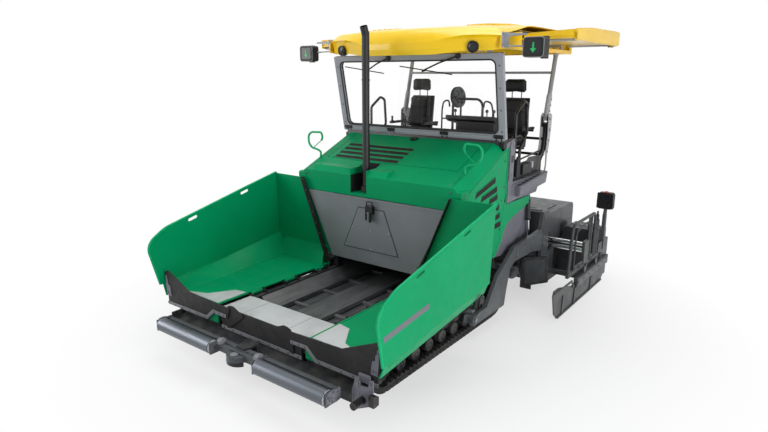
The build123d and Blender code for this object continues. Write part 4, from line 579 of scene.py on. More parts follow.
for p in both("roller_end", "roller_{side}", SILVER, BLACK, bevel=1):
    # perforated disc on the outer end, its holes dark discs of painted shade, bearing collar on
    # the inner end
    p.lathe((1222, ROLLER_Y, ROLLER_Z), OUT, ((0.5, 22), (0.5, 72), (7, 72), (9, 70), (9, 22)), 40)
    p.lathe((345, ROLLER_Y, ROLLER_Z), (-1, 0, 0),
        ((0.5, 22), (0.5, 70), (10, 70), (14, 60), (14, 22)), 40)
    p.of(BLACK)
    # painted shade: dark discs on the outer face stand for the holes
    for ring_r, count in ((34, 6), (54, 12)):
        for c, s in circle(count):
            y, z = ROLLER_Y + ring_r * c, ROLLER_Z + ring_r * s
            p.rod((1230.6, y, z), (1231.6, y, z), 6.5, 12)

for p in both("roller_bracket", "push_bar", LILAC, BOLT, bevel=2):
    # slim perforated outer bracket
    p.prism("x", 1254, 1262, ((-2936, 330), (-2800, 322), (-2756, 345), (-2756, 440), (-2800, 440),
        (-2850, 455), (-2900, 450), (-2936, 420)))
    p.of(BOLT).bolts(spread("x", 1262, ((-2916, 345), (-2916, 408), (-2860, 345), (-2850, 430),
        (-2790, 350), (-2790, 410))), OUT, 9, 6)
    p.rod((1262, ROLLER_Y, ROLLER_Z), (1270, ROLLER_Y, ROLLER_Z), 20)

# ---- aprons
APRON_Y = -2591.9  # front face of the wings' aprons
p = Piece("apron_bolts", "chassis", BOLT, bevel=0)
p.bolts([(x, -2571.0, 423) for x in range(-560, 561, 140)], FRONT, 9, 5)
p.done()
for p in both("wing_apron_strip", "wing_{side}", WALL, BOLT):
    # clamp strip that steps down outboard, with its bolts
    p.prism("y", APRON_Y - 8, APRON_Y, ((486, 552), (486, 590), (706, 594), (826, 494),
        (1544, 490), (1544, 452), (812, 454), (694, 555)))
    p.of(BOLT).bolts([(x, APRON_Y - 8, 573) for x in (520, 600, 680)], FRONT, 8, 6)
    p.bolts([(x, APRON_Y - 8, 472) for x in range(860, 1541, 136)], FRONT, 8, 6)
for p in both("beam_skirt", "chassis", DARKER, BOLT):
    # dark plate behind the aprons, down to the front beam
    p.prism("y", -2549, -2543, ((606, 300), (1400, 300), (1400, 455), (1330, 470), (606, 470)))
    p.of(BOLT).bolts([(x, -2549, 330) for x in (700, 900, 1100, 1300)], FRONT, 9, 6)
for p in both("apron_lobe", "chassis", RUBBER, bevel=1):
    # rounded lap on the middle apron, behind the end of a wing's apron
    p.prism("y", -2577.4, -2571.8, ((470, 434), (250, 600), (229, 618), (240, 640), (281, 662),
        (340, 688), (379, 703), (430, 700), (472, 684), (498, 650), (505, 604), (500, 434)))
for p in both("wing_corner_plate", "wing_{side}", LILAC, BOLT):
    # light plate with notched edge that closes the apron's outer end
    p.prism("y", APRON_Y - 10, APRON_Y, ((1470, 560), (1546, 560), (1552, 640), (1562, 700),
        (1562, 800), (1540, 812), (1536, 760), (1522, 756), (1518, 700), (1488, 690), (1478, 640)))
    p.of(BOLT).bolts([(1500, APRON_Y - 10, 600), (1528, APRON_Y - 10, 600),
        (1548, APRON_Y - 10, 776)], FRONT, 8, 6)
for p in both("tow_hook", "chassis", GREEN, bevel=3):
    p.prism("y", -2575, -2551, ((662, 440), (800, 440), (800, 500), (760, 536), (662, 536)))

# ---- hopper wings
# tilt of a left wing's outer panel, its normal and its upward direction
LEAN = math.atan2(42, 1110)
panel_n = Vector((math.cos(LEAN), 0, -math.sin(LEAN)))
panel_u = Vector((math.sin(LEAN), 0, math.cos(LEAN)))


def on_panel(y, v, out):
    """Point on a left wing's outer panel, v up it and out in front of it."""
    return Vector((1600, y, 0)) + panel_u * v + panel_n * out


for p in both("wing_stripe", "wing_{side}", LILAC, bevel=0):
    quad = ((-2632, 911), (-1948, 989), (-1952, 1048), (-2636, 966))
    p.skin([[on_panel(y, v, out) for y, v in quad] for out in (0.2, 1.0)])
for p in both("wing_rim", "wing_{side}", GREEN_PAINTED_HIGHLIGHT, bevel=0):
    # rolled edge along the top and round the front of the outer panel, in the lighter green of a
    # painted highlight
    edge = ((-2635, 684), (-2733, 1102), (-2720, 1170), (-2670, 1232), (-2499, 1333),
        (-1801, 1503), (-1286, 1629), (-742, 1757))
    p.tube([on_panel(y, v, -1) for y, v in edge], 13, 12, 60)
for p in both("wing_seal", "wing_{side}", RUBBER, BOLT, bevel=1):
    # rubber strip on the inboard edge of the rear panel, and its clamp bolts
    low, high = Vector((686, -775, 640)), Vector((1139, -775, 1743))
    d = (high - low).normalized()
    out = Vector((d.z, 0, -d.x))
    corner = [low + d * 25, high, high - out * 10, low + d * 25 - out * 10]
    p.prism("y", -804, -735, [(c.x, c.z) for c in corner])
    p.of(BOLT).bolts([low + d * t - out * 10 for t in range(110, 1180, 150)], -out, 8, 5)
for p in both("wing_flap", "wing_{side}", GREEN, bevel=1):
    # flap over the hinge knuckles
    p.prism("y", -2540, -760, ((684, 641), (686, 648), (700, 649), (706, 645.3), (690, 645.3)))
for p in both("hinge_trough", "chassis", DARKER, bevel=1):
    # plate under the hinge line
    for y0, y1 in ((-2536, -2425), (-2335, -640)):
        p.box((648, 775), (y0, y1), (548, 540))
for p in both("wing_sill", "wing_{side}", SATIN, bevel=0.6):
    # satin plate on the wing's floor at the front
    p.prism("z", 645.3, 649, ((708, -2524), (1300, -2524), (1030, -2420), (860, -2160),
        (708, -2130)))
for p in both("wing_hardware", "wing_{side}", BLACK, BOLT):
    # latch hook low at the rear of the outer panel and its small plate
    p.prism("x", 1628, 1640, ((-960, 700), (-860, 690), (-850, 760), (-905, 800), (-955, 760)))
    p.of(BOLT).bolts([(1640, -925, 725), (1640, -880, 745)], OUT, 8, 6)

# ---- hopper wall and sill
p = Piece("hatch_trim", "chassis", SILVER, BLACK, WALL, slot="grey_paint")
p.bolts(spread("y", -729, ((-395, 945), (-10, 945), (360, 945), (-300, 1190), (275, 1190),
    (-190, 1420), (160, 1420), (-5, 1180))), FRONT, 10, 6)
p.of(BLACK)
# latch: body, padlock eye and lever
p.box((-52, 52), (-786, -728), (1408, 1508))
p.rod((-30, -790, 1420), (-30, -790, 1330), 14, 12)
p.rod((26, -786, 1440), (26, -786, 1310), 18, 12)
p.tube(((-40, -770, 1508), (-40, -770, 1560), (50, -770, 1560), (50, -770, 1508)), 8, 10, 24)
p.of(WALL).box((-1050, 1050), (-728, -724.3), (1560, 1584))
p.of(BLACK)
# dark joint round the hatch
hatch = ((-445, 925), (410, 925), (190, 1462), (-205, 1462))
for (x0, z0), (x1, z1) in zip(hatch, hatch[1:] + hatch[:1]):
    run = Vector((x1 - x0, z1 - z0)).normalized() * 4
    p.prism("y", -730, -728.6, ((x0 - run.y, z0 + run.x), (x0 + run.y, z0 - run.x),
        (x1 + run.y, z1 - run.x), (x1 - run.y, z1 + run.x)))
p.done()
p = Piece("sill_joints", "chassis", BLACK, BOLT, bevel=0)
for x in (-330, 330):
    p.box((x - 1.5, x + 1.5), (-2540, -2118), (612.2, 612.8))
p.of(BOLT).bolts([(x, -2500, 612.3) for x in (-610, -200, 200, 610)], UP, 8, 4)
p.done()
p = Piece("conveyor_chain", "chassis", IRON, STEEL, bevel=1)
# slat chains of both channels and the bolts of the divider
for x in (-408, -212, 212, 408):
    for k in range(56):
        y = -1990 + k * 58
        p.box((x - 7, x + 7), (y, y + 44), (418, 436))
p.of(STEEL)
for k in range(7):
    y = Y_WING + 1090 + k * 490
    for x in (-307, 307):
        p.box((x - 100, x + 100), (y - 32, y - 25.3), (419, 432))
p.bolts([(s * 150, y, 462) for s in (-1, 1) for y in range(-1900, 1300, 400)], UP, 10, 5)
p.done()

# ---- hood
LOUVRES = [(-46 - 95 * k, 158 - 12 * k) for k in range(4)]  # slots of the lid: y, left end

p = Piece("hood_vents", "hood_lid", MESH, bevel=0)
# mesh just under each louvre slot of the lid, and a dark strip that fills the slot level with the
# skin: painted shade of the slot
for y, x in LOUVRES:
    p.box((-908, x + 4), (y - 24, y + 24), (hood_z(y) - 14, hood_z(y) - 10.5), HOOD_TURN)
    # painted shade: dark strip in the slot, level with the lid's skin
    p.prism("x", -905, x, ((y - 42, hood_z(y - 42) - 1), (y + 19, hood_z(y + 19) - 1),
        (y + 19, hood_z(y + 19) + 1.2), (y - 42, hood_z(y - 42) + 1.2)))
p.done()
p = Piece("louvre_lips", "hood_lid", GREEN_PAINTED_HIGHLIGHT, bevel=0.8)
# lips of the louvre slots in the lighter green: painted highlight
for y, x in LOUVRES:
    z = hood_z(y + 19)
    p.box((-905, x), (y + 19, y + 24), (z - 9, z + 5), tip(-0.3))
p.done()
p = Piece("lid_latch", "hood_lid", BLACK, slot="black_plastic", bevel=2)
z = hood_z(190)
p.box((-48, 48), (152, 212), (z - 12, z + 16), HOOD_TURN)
p.box((-30, 30), (140, 165), (z - 16, z + 12), HOOD_TURN)
p.done()
p = Piece("hood_grille", "chassis", MESH, BLACK, bevel=1)
# dark lining and bars of the exhaust's recess
p.box((-348.5, -94.5), (-436, -432), (1630, 1980))
p.box((-348.7, -345), (-700, -436), (1630, 1850))
p.box((-98, -94.3), (-700, -436), (1630, 1850))
p.of(BLACK)
for k in range(12):
    z = 1650 + k * 26
    p.box((-346, -97), (-446, -438), (z, z + 8))
p.box((-300, -130), (-470, -462), (1860, 1900))
p.done()
p = Piece("hood_seams", "chassis", BLACK, BOLT, bevel=0)
# shut lines and screws on the hood's skin
z = hood_z(-420)
for x in (-1096, 1096):
    p.box((x - 2, x + 2), (-670, -170), (z - 0.5, z + 0.8), HOOD_TURN)
p.box((205.5, 208), (-706, -480), (1850, 1852))
p.of(BOLT).bolts([(x, -640, hood_z(-640) - 1) for x in (-1060, 1060)], (0, -0.4, 1), 9, 5)
p.done()
for p in both("corner_ledge", "chassis", GREEN, BOLT, bevel=4):
    # raised ledge on the hood's front corner and its screws
    p.prism("x", 1118, BODY_HALF + 0.5, ((-716, 1742), (-716, 1804), (-690, 1818), (-560, 1818),
        (-560, 1742)))
    p.of(BOLT).bolts([(1100, -712, 1800), (BODY_HALF + 0.5, -650, 1780)], FRONT, 8, 5)
for p in both("grab_handle", "chassis", GREEN_PAINTED_HIGHLIGHT, bevel=0):
    # tall bent tube handle on the hood's shoulder, in the lighter green of a painted highlight
    p.tube(((1120, -420, 1925), (1106, -420, 2052), (1180, -425, 2082), (1262, -430, 2092),
        (1322, -432, 2158), (1322, -432, 2262), (1272, -425, 2306), (1100, -415, 2312),
        (1080, -412, 2250), (1102, -411, 2205)), 14, 12, 40)
    p.rod((1102, -411, 2206), (1236, -428, 2098), 6, 12)
# louvre slots of the side door: y, z, run and rise
DOOR_SLOTS = ((-392, 1716, 479, 119), (-257, 1649, 398, 70), (-50, 1587, 214, 32),
    (80, 1463, 142, 22), (80, 1352, 173, 23), (91, 1250, 193, 11))
for p in both("door_mesh", "door_{side}", MESH, bevel=0):
    # mesh behind the louvre slots of the side door, and a dark sheet on the outer skin round each
    # slot: painted shade of the slot
    for y, z, run_y, rise in DOOR_SLOTS:
        p.prism("x", 1230, 1233.5, ((y - 6, z - 8), (y + run_y + 8, z + rise - 10),
            (y + run_y + 8, z + rise + 54), (y + 16, z + 54)))
        # painted shade: dark sheet on the outer skin round the slot
        p.prism("x", BODY_HALF + 0.1, BODY_HALF + 1.3,
            ((y - 20, z - 24), (y + run_y, z + rise - 26), (y + run_y + 8, z + rise - 16),
            (y + run_y + 8, z + rise + 46), (y + 20, z + 46)))
for p in both("door_hardware", "door_{side}", BLACK, GREEN_PAINTED_HIGHLIGHT, slot="black_plastic"):
    # screws, latch and a folded rib over each slot, the rib in the lighter green of a painted
    # highlight
    p.bolts(spread("x", BODY_HALF, ((330, 2040), (340, 1720), (300, 1560), (270, 1200),
        (-600, 1660), (-600, 980))), OUT, 9, 5)
    p.box((BODY_HALF, 1250), (-640, -560), (1290, 1330))
    p.of(GREEN_PAINTED_HIGHLIGHT)
    for y, z, run_y, rise in DOOR_SLOTS:
        p.prism("x", BODY_HALF + 0.2, 1250, ((y + 22, z + 46), (y + run_y, z + rise + 46),
            (y + run_y, z + rise + 53), (y + 24, z + 53)))

# ---- exhaust
p = Piece("exhaust_trim", "chassis", EXHAUST, bevel=1)
for z in (1712, 2150, 2990):
    p.lathe((-216, -554, z), UP, ((0, 46.2), (0, 51), (22, 51), (22, 46.2)), 32)
p.box((-262, -170), (-520, -440), (1880, 1905))
p.done()

# ---- windshield
# tilt of the windshield, its upward and outward directions and its foot
lean = math.radians(11.4)
s_up = Vector((0, -math.sin(lean), math.cos(lean)))
s_out = Vector((0, -math.cos(lean), -math.sin(lean)))
s_foot = Vector((0, Y_SHIELD + 4, 2290))


def on_shield(x, v, out):
    """Point in the windshield's plane, v up it and out in front of it."""
    return s_foot + Vector((x, 0, 0)) + s_up * v + s_out * out


p = Piece("windshield_gasket", "windshield", RUBBER, bevel=0)
frame_line = rounded(0, 530.5, 1178, 436.5, 68, 15)
for out in (26, -26):
    p.tube([on_shield(x, v, out) for x, v in frame_line], 9, 10, 2, closed=True)
p.done()
p = Piece("windshield_rail", "windshield", BLACK, BOLT, FRAME_GREY, bevel=2)
# dark lower rail, hinge covers and screws of the pillars
for x in (-1180, -420, 420, 1180):
    c = on_shield(x, 58, 31)
    p.box((x - 60, x + 60), (c.y - 6, c.y + 6), (c.z - 22, c.z + 22), tip(lean))
p.of(BOLT).bolts([on_shield(s * 1226, v, 25) for s in (-1, 1)
    for v in (120, 380, 640, 900)], s_out, 8, 5)
p.of(FRAME_GREY)
c = on_shield(0, 46, 28)
p.box((-1100, 1100), (c.y - 3, c.y + 3), (c.z - 20, c.z + 20), tip(lean))
p.done()
p = Piece("cowl_strip", "chassis", BLACK, slot="black_rubber", bevel=2)
# black seal between the hood's rear edge and the windshield
p.prism("x", -1196, 1196, ((232, 2240), (256, 2246), (254, 2292), (240, 2292)))
p.done()
p = Piece("wipers", "windshield", BLACK, slot="black_plastic", bevel=0)
for (px, pv), (ex, ev), (t0, t1) in (((-330, 1010), (-700, 850), ((-1080, 905), (-430, 815))),
        ((700, 1018), (180, 845), ((-160, 905), (600, 800)))):
    p.lathe(on_shield(px, pv, 24), s_out, ((0, 30), (0, 34), (22, 34), (30, 22), (30, 8)), 20)
    p.tube([on_shield(px, pv, 48), on_shield((px + ex) / 2, (pv + ev) / 2 + 12, 56),
        on_shield(ex, ev, 44)], 10, 8, 30)
    for out, r in ((36, 7), (28, 4)):
        p.rod(on_shield(*t0, out), on_shield(*t1, out), r, 8)
    p.rod(on_shield((t0[0] + t1[0]) / 2, (t0[1] + t1[1]) / 2, 38), on_shield(ex, ev, 46), 12, 10)
p.done()

# ---- roof
p = Piece("roof_canopy", "roof", YELLOW, bevel=0)
HALF, REAR = 1292, 2222  # half width and rear edge
# shares of the half width at which the roof's section is set
columns = (0.14, 0.28, 0.42, 0.55, 0.66, 0.76, 0.86, 0.94, 0.985, 1.0)
columns = (*(-u for u in reversed(columns)), 0.0, *columns)


def smooth(t, a, b):
    """Soft step of t between a and b."""
    t = max(0.0, min(1.0, (t - a) / (b - a)))
    return t * t * (3 - 2 * t)


def front_y(u):
    """Foremost line of the roof across its half width."""
    return -292 + 268 * abs(u) ** 2.1 + 20 * smooth(abs(u), 0.93, 1.0)


def crown_z(a):
    """Height of the roof's flat top at a share of its half width."""
    return 3646 + 26 * (1 - smooth(a, 0.62, 1.0))


def roof_column(u):
    """(y, z) pairs from the rear under edge, below the front and over the top to the rear."""
    a = abs(u)
    yf = front_y(u)
    wing = smooth(a, 0.42, 0.66)  # fascia over the lamps
    edge = smooth(a, 0.9, 1.0)
    low = 3288 + 40 * wing + 20 * edge  # lower rim
    lip = 3352 + 44 * wing + 14 * edge
    crease = 3428 + 62 * wing - 10 * edge  # brow line that sweeps up outboard
    brow = 3506 + 16 * wing - 24 * edge
    top = 3560 + 26 * (1 - edge) - 10 * edge
    back = crown_z(a)
    return [(yf + 300, low + 36), (yf + 90, low + 24), (yf + 34 + 40 * wing, low),
        (yf + 8 + 50 * wing, lip), (yf + 4 + 44 * wing, crease - 10),
        (yf + 10 - 8 * wing, crease + 10), (yf + 34, brow), (yf + 110, top),
        (yf + 300, top + (back - top) * 0.35), (yf + 620, top + (back - top) * 0.75), (700, back),
        (1400, back), (1900, back - 12 * (1 - edge)), (2120, back - 46 * (1 - edge) - 6),
        (REAR - 12, 3560 - 10 * edge), (REAR, 3500), (REAR, 3360), (REAR - 30, 3352)]


grid = []
for u in columns:
    drop = 24 * smooth(abs(u), 0.86, 1.0) ** 3  # lowers the brow's corners
    column = [(u * HALF, y, z) for y, z in roof_column(u)]
    for i in (7, 8):
        column[i] = (*column[i][:2], column[i][2] - drop)
    grid.append([p.bm.verts.new(co) for co in column])
for a, b in zip(grid, grid[1:]):
    for i in range(len(a) - 1):
        p.bm.faces.new((a[i], b[i], b[i + 1], a[i + 1]))
crease = p.bm.edges.layers.float.new("crease_edge")
for a, b in zip(grid, grid[1:]):
    for i, hard in ((2, 0.8), (3, 0.55), (5, 0.75), (7, 0.4), (16, 0.8)):
        p.bm.edges.get((a[i], b[i]))[crease] = hard
roof = p.done(sharp=40)
thick = roof.modifiers.new("sheet", "SOLIDIFY")
thick.thickness = 12 * MM
thick.offset = -1
sub = roof.modifiers.new("curve", "SUBSURF")
sub.levels = sub.render_levels = 2

p = Piece("roof_sides", "roof", YELLOW, FRAME_GREY, bevel=4)
# side rims above and below the awnings' mouths, the ceiling and its ribs
for s in (-1, 1):
    p.box((s * 1262, s * 1288), (-20, 2216), (3352, 3402))
    p.prism("x", s * 1262, s * 1288, ((-20, 3400), (520, 3400), (520, 3560), (120, 3520),
        (-20, 3480)))
    p.prism("x", s * 1262, s * 1288, ((2168, 3400), (2216, 3400), (2216, 3500), (2168, 3560)))
p.of(FRAME_GREY).prism("x", -1250, 1250, ((140, 3494), (430, 3532), (522, 3572), (2126, 3572),
    (2150, 3560), (2150, 3566), (2126, 3578), (519, 3578), (427, 3538), (140, 3500)))
for y in (650, 1911):
    p.box((-1261, 1261), (y - 20, y + 20), (3440, 3469.7))
    for s in (-1, 1):
        p.box((s * 1226, s * 1263), (y - 20, y + 20), (3385, 3441))
for x in (-40, 40):
    p.box((x - 10, x + 10), (630, 1931), (3405, 3501))
for s in (-1, 1):
    for e in (-1, 1):
        p.box((s * 1190 + e * 40 - 4, s * 1190 + e * 40 + 4), (1857, 1941), (3366, 3450))
        p.box((s * 1100 + e * 34 - 8, s * 1100 + e * 34 + 8), (50, 98), (3322, 3501))
    p.rod((s * 1100 - 42, 73.5, 3334), (s * 1100 + 42, 73.5, 3334), 9)
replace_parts(p.done(), "roof")

p = Piece("roof_ribs", "roof", YELLOW, bevel=0)
for k in range(6):
    for s in (-1, 1):
        x = s * (600 + k * 92)
        crown = crown_z(abs(x) / HALF)
        path = [(x * 0.92, 520 - k * 14, crown - 14), (x * 0.97, 700, crown + 1),
            (x, 1300, crown + 3), (x, 1900, crown - 4), (x, 2060, crown - 26)]
        p.tube(path, 17, 10, 120)
p.done()
for p in both("roof_lamp", "roof", BLACK, LENS, slot="black_plastic", bevel=1):
    # round lamp set into the fascia, with its dark bezel
    c = Vector((978, front_y(978 / HALF) + 34, 3372))
    d = Vector((0.1, -1, -0.12)).normalized()
    p.lathe(c, d, ((-40, 46), (-30, 64), (6, 67), (14, 64), (16, 56), (8, 53)), 40)
    p.of(LENS).lathe(c, d, ((2, 16), (4, 52), (12, 46), (19, 24), (21, 4)), 40)
for p in both("signal_bracket", "roof", SILVER, BOLT, bevel=2):
    # cast arm with a curved web from the roof's corner to the signal box
    p.prism("y", 20, 48, ((1286, 3370), (1310, 3360), (1330, 3376), (1328, 3440), (1360, 3478),
        (1560, 3486), (1560, 3506), (1340, 3512), (1286, 3520)))
    p.box((1284, 1292), (-20, 160), (3362, 3528))
    p.rod((1330, 34, 3376), (1580, 34, 3368), 9, 12)
    p.of(BOLT).bolts([(1292, y, z) for y in (0, 130) for z in (3390, 3500)], OUT, 9, 6)

for p in both("signal_lamp", "roof", PLASTIC, LENS, GREEN_LAMP, WALL, bevel=2):
    # rounded housing with a stepped back, rim and a plain green down arrow
    centre = (1682, 3352)
    p.prism("y", -66, 60, rounded(*centre, 120, 106, 34))
    p.prism("y", 60, 80, rounded(1690, 3360, 92, 84, 24))
    p.box((1706, 1776), (84, 140), (3236, 3470))
    p.of(WALL).tube([(x, -68, z) for x, z in rounded(*centre, 117, 103, 34)], 4.5, 8,
        1, closed=True)
    p.of(LENS).prism("y", -71, -65, rounded(*centre, 92, 80, 22))
    p.of(GREEN_LAMP).prism("y", -74, -71, ((1671, 3402), (1693, 3402), (1693, 3340), (1722, 3340),
        (1682, 3292), (1642, 3340), (1671, 3340)))
    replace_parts(p.done(), "signal_boxes")

for p in both("awning_skin", "awning_{side}", YELLOW, SILVER, BLACK, bevel=3):
    # folded outer valance, stiffening creases and the guide rails under the panel
    y0, y1 = 530, 2160
    p.prism("y", y0 + 10, y1 - 40, ((1300, 3489), (1905, 3489), (1925, 3562), (1880, 3566),
        (1300, 3540)))
    p.prism("x", 1906, 1942, ((y0, 3452), (y0 + 40, 3446), (y1 - 60, 3440), (y1, 3456), (y1, 3612),
        (y1 - 120, 3622), (y0 + 500, 3606), (y0 + 60, 3578), (y0, 3566)))
    p.of(SILVER)
    for y in (y0 + 60, y1 - 90):
        p.rod((1290, y, 3452), (1900, y, 3452), 13, 14)
        p.rod((1290, y + 26, 3452), (1900, y + 26, 3452), 8, 14)
        p.box((1880, 1908), (y - 16, y + 50), (3436, 3472))
    p.of(BLACK).box((1870, 1906), (y1 - 260, y1 - 120), (3420, 3440))

# ---- operator's platform
for p in both("platform_box", "chassis", LILAC, BLACK, BOLT, bevel=3):
    # lips of the two step boxes, tread strips and screws on the windshield foot
    p.prism("x", 1250.5, 1258, ((445, 1790), (560, 1800), (560, 2250), (470, 2270), (445, 2235)))
    p.prism("x", 1310.3, 1318, ((655, 1568), (1512, 1628), (1556, 1766), (655, 1682)))
    p.of(BLACK)
    slope = 85 / 930
    for y in range(680, 1389, 118):
        z = 1690 + (y - 640) * slope
        p.box((1256, 1306), (y, y + 70), (z + 1, z + 5), tip(math.atan(slope)))
    p.box((1258, 1262), (480, 540), (2010, 2095))
    p.of(BOLT).bolts([(1258, 500, 1850), (1258, 530, 2210), (1318, 700, 1650),
        (1318, 1480, 1720)], OUT, 9, 6)
for p in both("platform_panel", "chassis", BLACK, DARKER, SILVER, bevel=2):
    # inner side panel behind the windshield foot, document box, extinguisher and small fittings
    p.prism("x", 1180, 1190, ((565, DECK_Z + 1), (1560, DECK_Z + 1), (1600, 1990), (1180, 2000),
        (1120, 1960), (760, 1950), (640, 2130), (565, 2140)))
    p.of(DARKER).box((1191, 1236), (900, 1180), (1800, 1930))
    p.rod((1212, 760, 1790), (1212, 760, 2010), 42, 20)
    p.rod((1212, 760, 2010), (1212, 760, 2050), 22, 16, 12)
    p.of(SILVER).box((1190, 1196), (1220, 1330), (1840, 1930))
    p.rod((1196, 640, 1850), (1206, 640, 1850), 26, 20)
    p.tube(((1245, 1540, 1690), (1262, 1600, 1800), (1240, 1660, 2000),
        (1225, 1700, 2140)), 11, 10, 80)
p = Piece("reel_disc", "chassis", BAR_GREY, BLACK, bevel=1)
# hose reel on its post beside the rear rail
hub, axis = Vector((-159, 1620, 2744)), Vector((0.97, -0.17, 0.12))
p.lathe(hub, axis, ((-48, 40), (-46, 150), (-40, 158), (-34, 150), (-32, 96), (-8, 96), (-6, 150),
    (0, 158), (6, 150), (8, 130), (10, 60), (26, 52), (30, 12)), 48)
turn = axis.to_track_quat("Z", "Y").to_matrix()
p.of(BLACK)
for c, s in circle(6):
    start = hub + turn @ Vector((96 * c, 96 * s, 9))
    p.rod(start, start + turn @ Vector((0, 0, 4)), 27, 18)
p.tube([hub + Vector(step) for step in ((0, 30, 0), (0, 60, -20), (0, 60, -524))], 16, 10, 30)
p.done()
p = Piece("rail_extras", "chassis", BLACK, bevel=0)
# bent grab loops between the seats and small cross bars
for s in (-1, 1):
    p.tube(((s * 430, 1580, 1767), (s * 430, 1580, 2560), (s * 400, 1570, 2680),
        (s * 300, 1560, 2700), (s * 285, 1560, 2600)), 13, 10, 50)
    p.rod((s * 430, 1580, 2420), (s * 268, 1600, 2420), 10, 10)
    p.tube(((s * 1165, 757, 2300), (s * 1165, 920, 2300), (s * 1165, 1010, 2250)), 10, 10, 30)
    p.tube(((s * 1165, 917, 1990), (s * 1165, 1180, 2010), (s * 1160, 1560, 2040)), 12, 10, 30)
p.done()

# ---- rear posts
for p in both("post_bracket", "chassis", SILVER, BOLT, bevel=2):
    # pressed side plates round the post's hinge and their bolts
    for x0, x1 in ((1240, 1250), (1130, 1140)):
        p.prism("x", x0, x1, ((1600, 1990), (1660, 1960), (1716, 2120), (1752, 2380), (1756, 2520),
            (1700, 2560), (1640, 2520), (1640, 2400), (1640, 2180)))
    p.of(BOLT).bolts(spread("x", 1250, ((1650, 2030), (1676, 2180), (1690, 2330),
        (1677, 2478))), OUT, 13, 9)
for p in both("post_sleeve", "rear_posts", SILVER, BOLT, bevel=1):
    foot, top = Vector((POST_X, 1677, 2478)), Vector((POST_X, 1901, 3400))
    d = (top - foot).normalized()
    p.rod(foot + d * 60, foot + d * 330, 38, 24)
    p.rod(foot + d * 320, foot + d * 345, 34, 24, 31)
    p.rod(foot + d * 870, foot + d * 915, 36, 24)
    p.of(BOLT).bolts([foot + d * t + Vector((38, 0, 0)) for t in (110, 190, 270)], OUT, 10, 7)

# ---- seats
MAX_SWELL, CHANNEL = 14 * MM, 11 * MM  # most that cloth may move, a channel's half width


def pad(name, body, size, centre, tilt, groove, taper):
    """Stuffed cushion: rounded block that narrows to its top by taper, swollen by cloth
    pressure, with sewn channels at the (axis, place) pairs of groove."""
    bm = bmesh.new()
    sx, sy, sz = (s * MM for s in size)
    bmesh.ops.create_cube(bm, size=1, matrix=Matrix.Diagonal((sx, sy, sz, 1)))
    bmesh.ops.bevel(bm, geom=bm.edges[:], offset=min(sx, sy, sz) * 0.3, segments=4, affect="EDGES")
    for v in bm.verts:
        v.co.x *= 1 - taper * max(0.0, v.co.y / sy + 0.1) ** 1.4 * 1.6
    mesh = bpy.data.meshes.new(name)
    bm.to_mesh(mesh)
    bm.free()
    obj = add_object(name, mesh)
    bpy.context.view_layer.objects.active = obj
    remesh = obj.modifiers.new("remesh", "REMESH")
    remesh.mode = "VOXEL"
    remesh.voxel_size = 11 * MM
    bpy.ops.object.modifier_apply(modifier="remesh")
    before = [v.co.copy() for v in obj.data.vertices]
    cloth = obj.modifiers.new("cloth", "CLOTH")
    cloth.settings.use_pressure = True
    cloth.settings.uniform_pressure_force = 3.5
    cloth.settings.effector_weights.gravity = 0
    cloth.settings.quality = 4
    scene = bpy.context.scene
    for step in range(1, 15):
        scene.frame_set(step)
    bpy.ops.object.modifier_apply(modifier="cloth")
    scene.frame_set(1)
    for v, old in zip(obj.data.vertices, before):
        swell = v.co - old
        if swell.length > MAX_SWELL:
            v.co = old + swell.normalized() * MAX_SWELL
        depth = 0
        for axis, place in groove:
            gap = abs(v.co[axis] - place * MM) / CHANNEL
            depth = max(depth, math.exp(-gap * gap))
        v.co.z *= 1 - 0.10 * depth
        v.co.y *= 1 - 0.012 * depth
    move = Matrix.Translation([c * MM for c in centre])
    obj.data.transform(move @ Matrix.Rotation(tilt, 4, "X"))
    sub = obj.modifiers.new("soft", "SUBSURF")
    sub.levels = sub.render_levels = 1
    for polygon in obj.data.polygons:
        polygon.use_smooth = True
    obj.data.materials.append(SEATCOVER)
    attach(obj, body)
    return obj


SEAT_X, SEAT_Y, SEAT_Z = 780, 1280, 2145
UPRIGHT = math.pi / 2
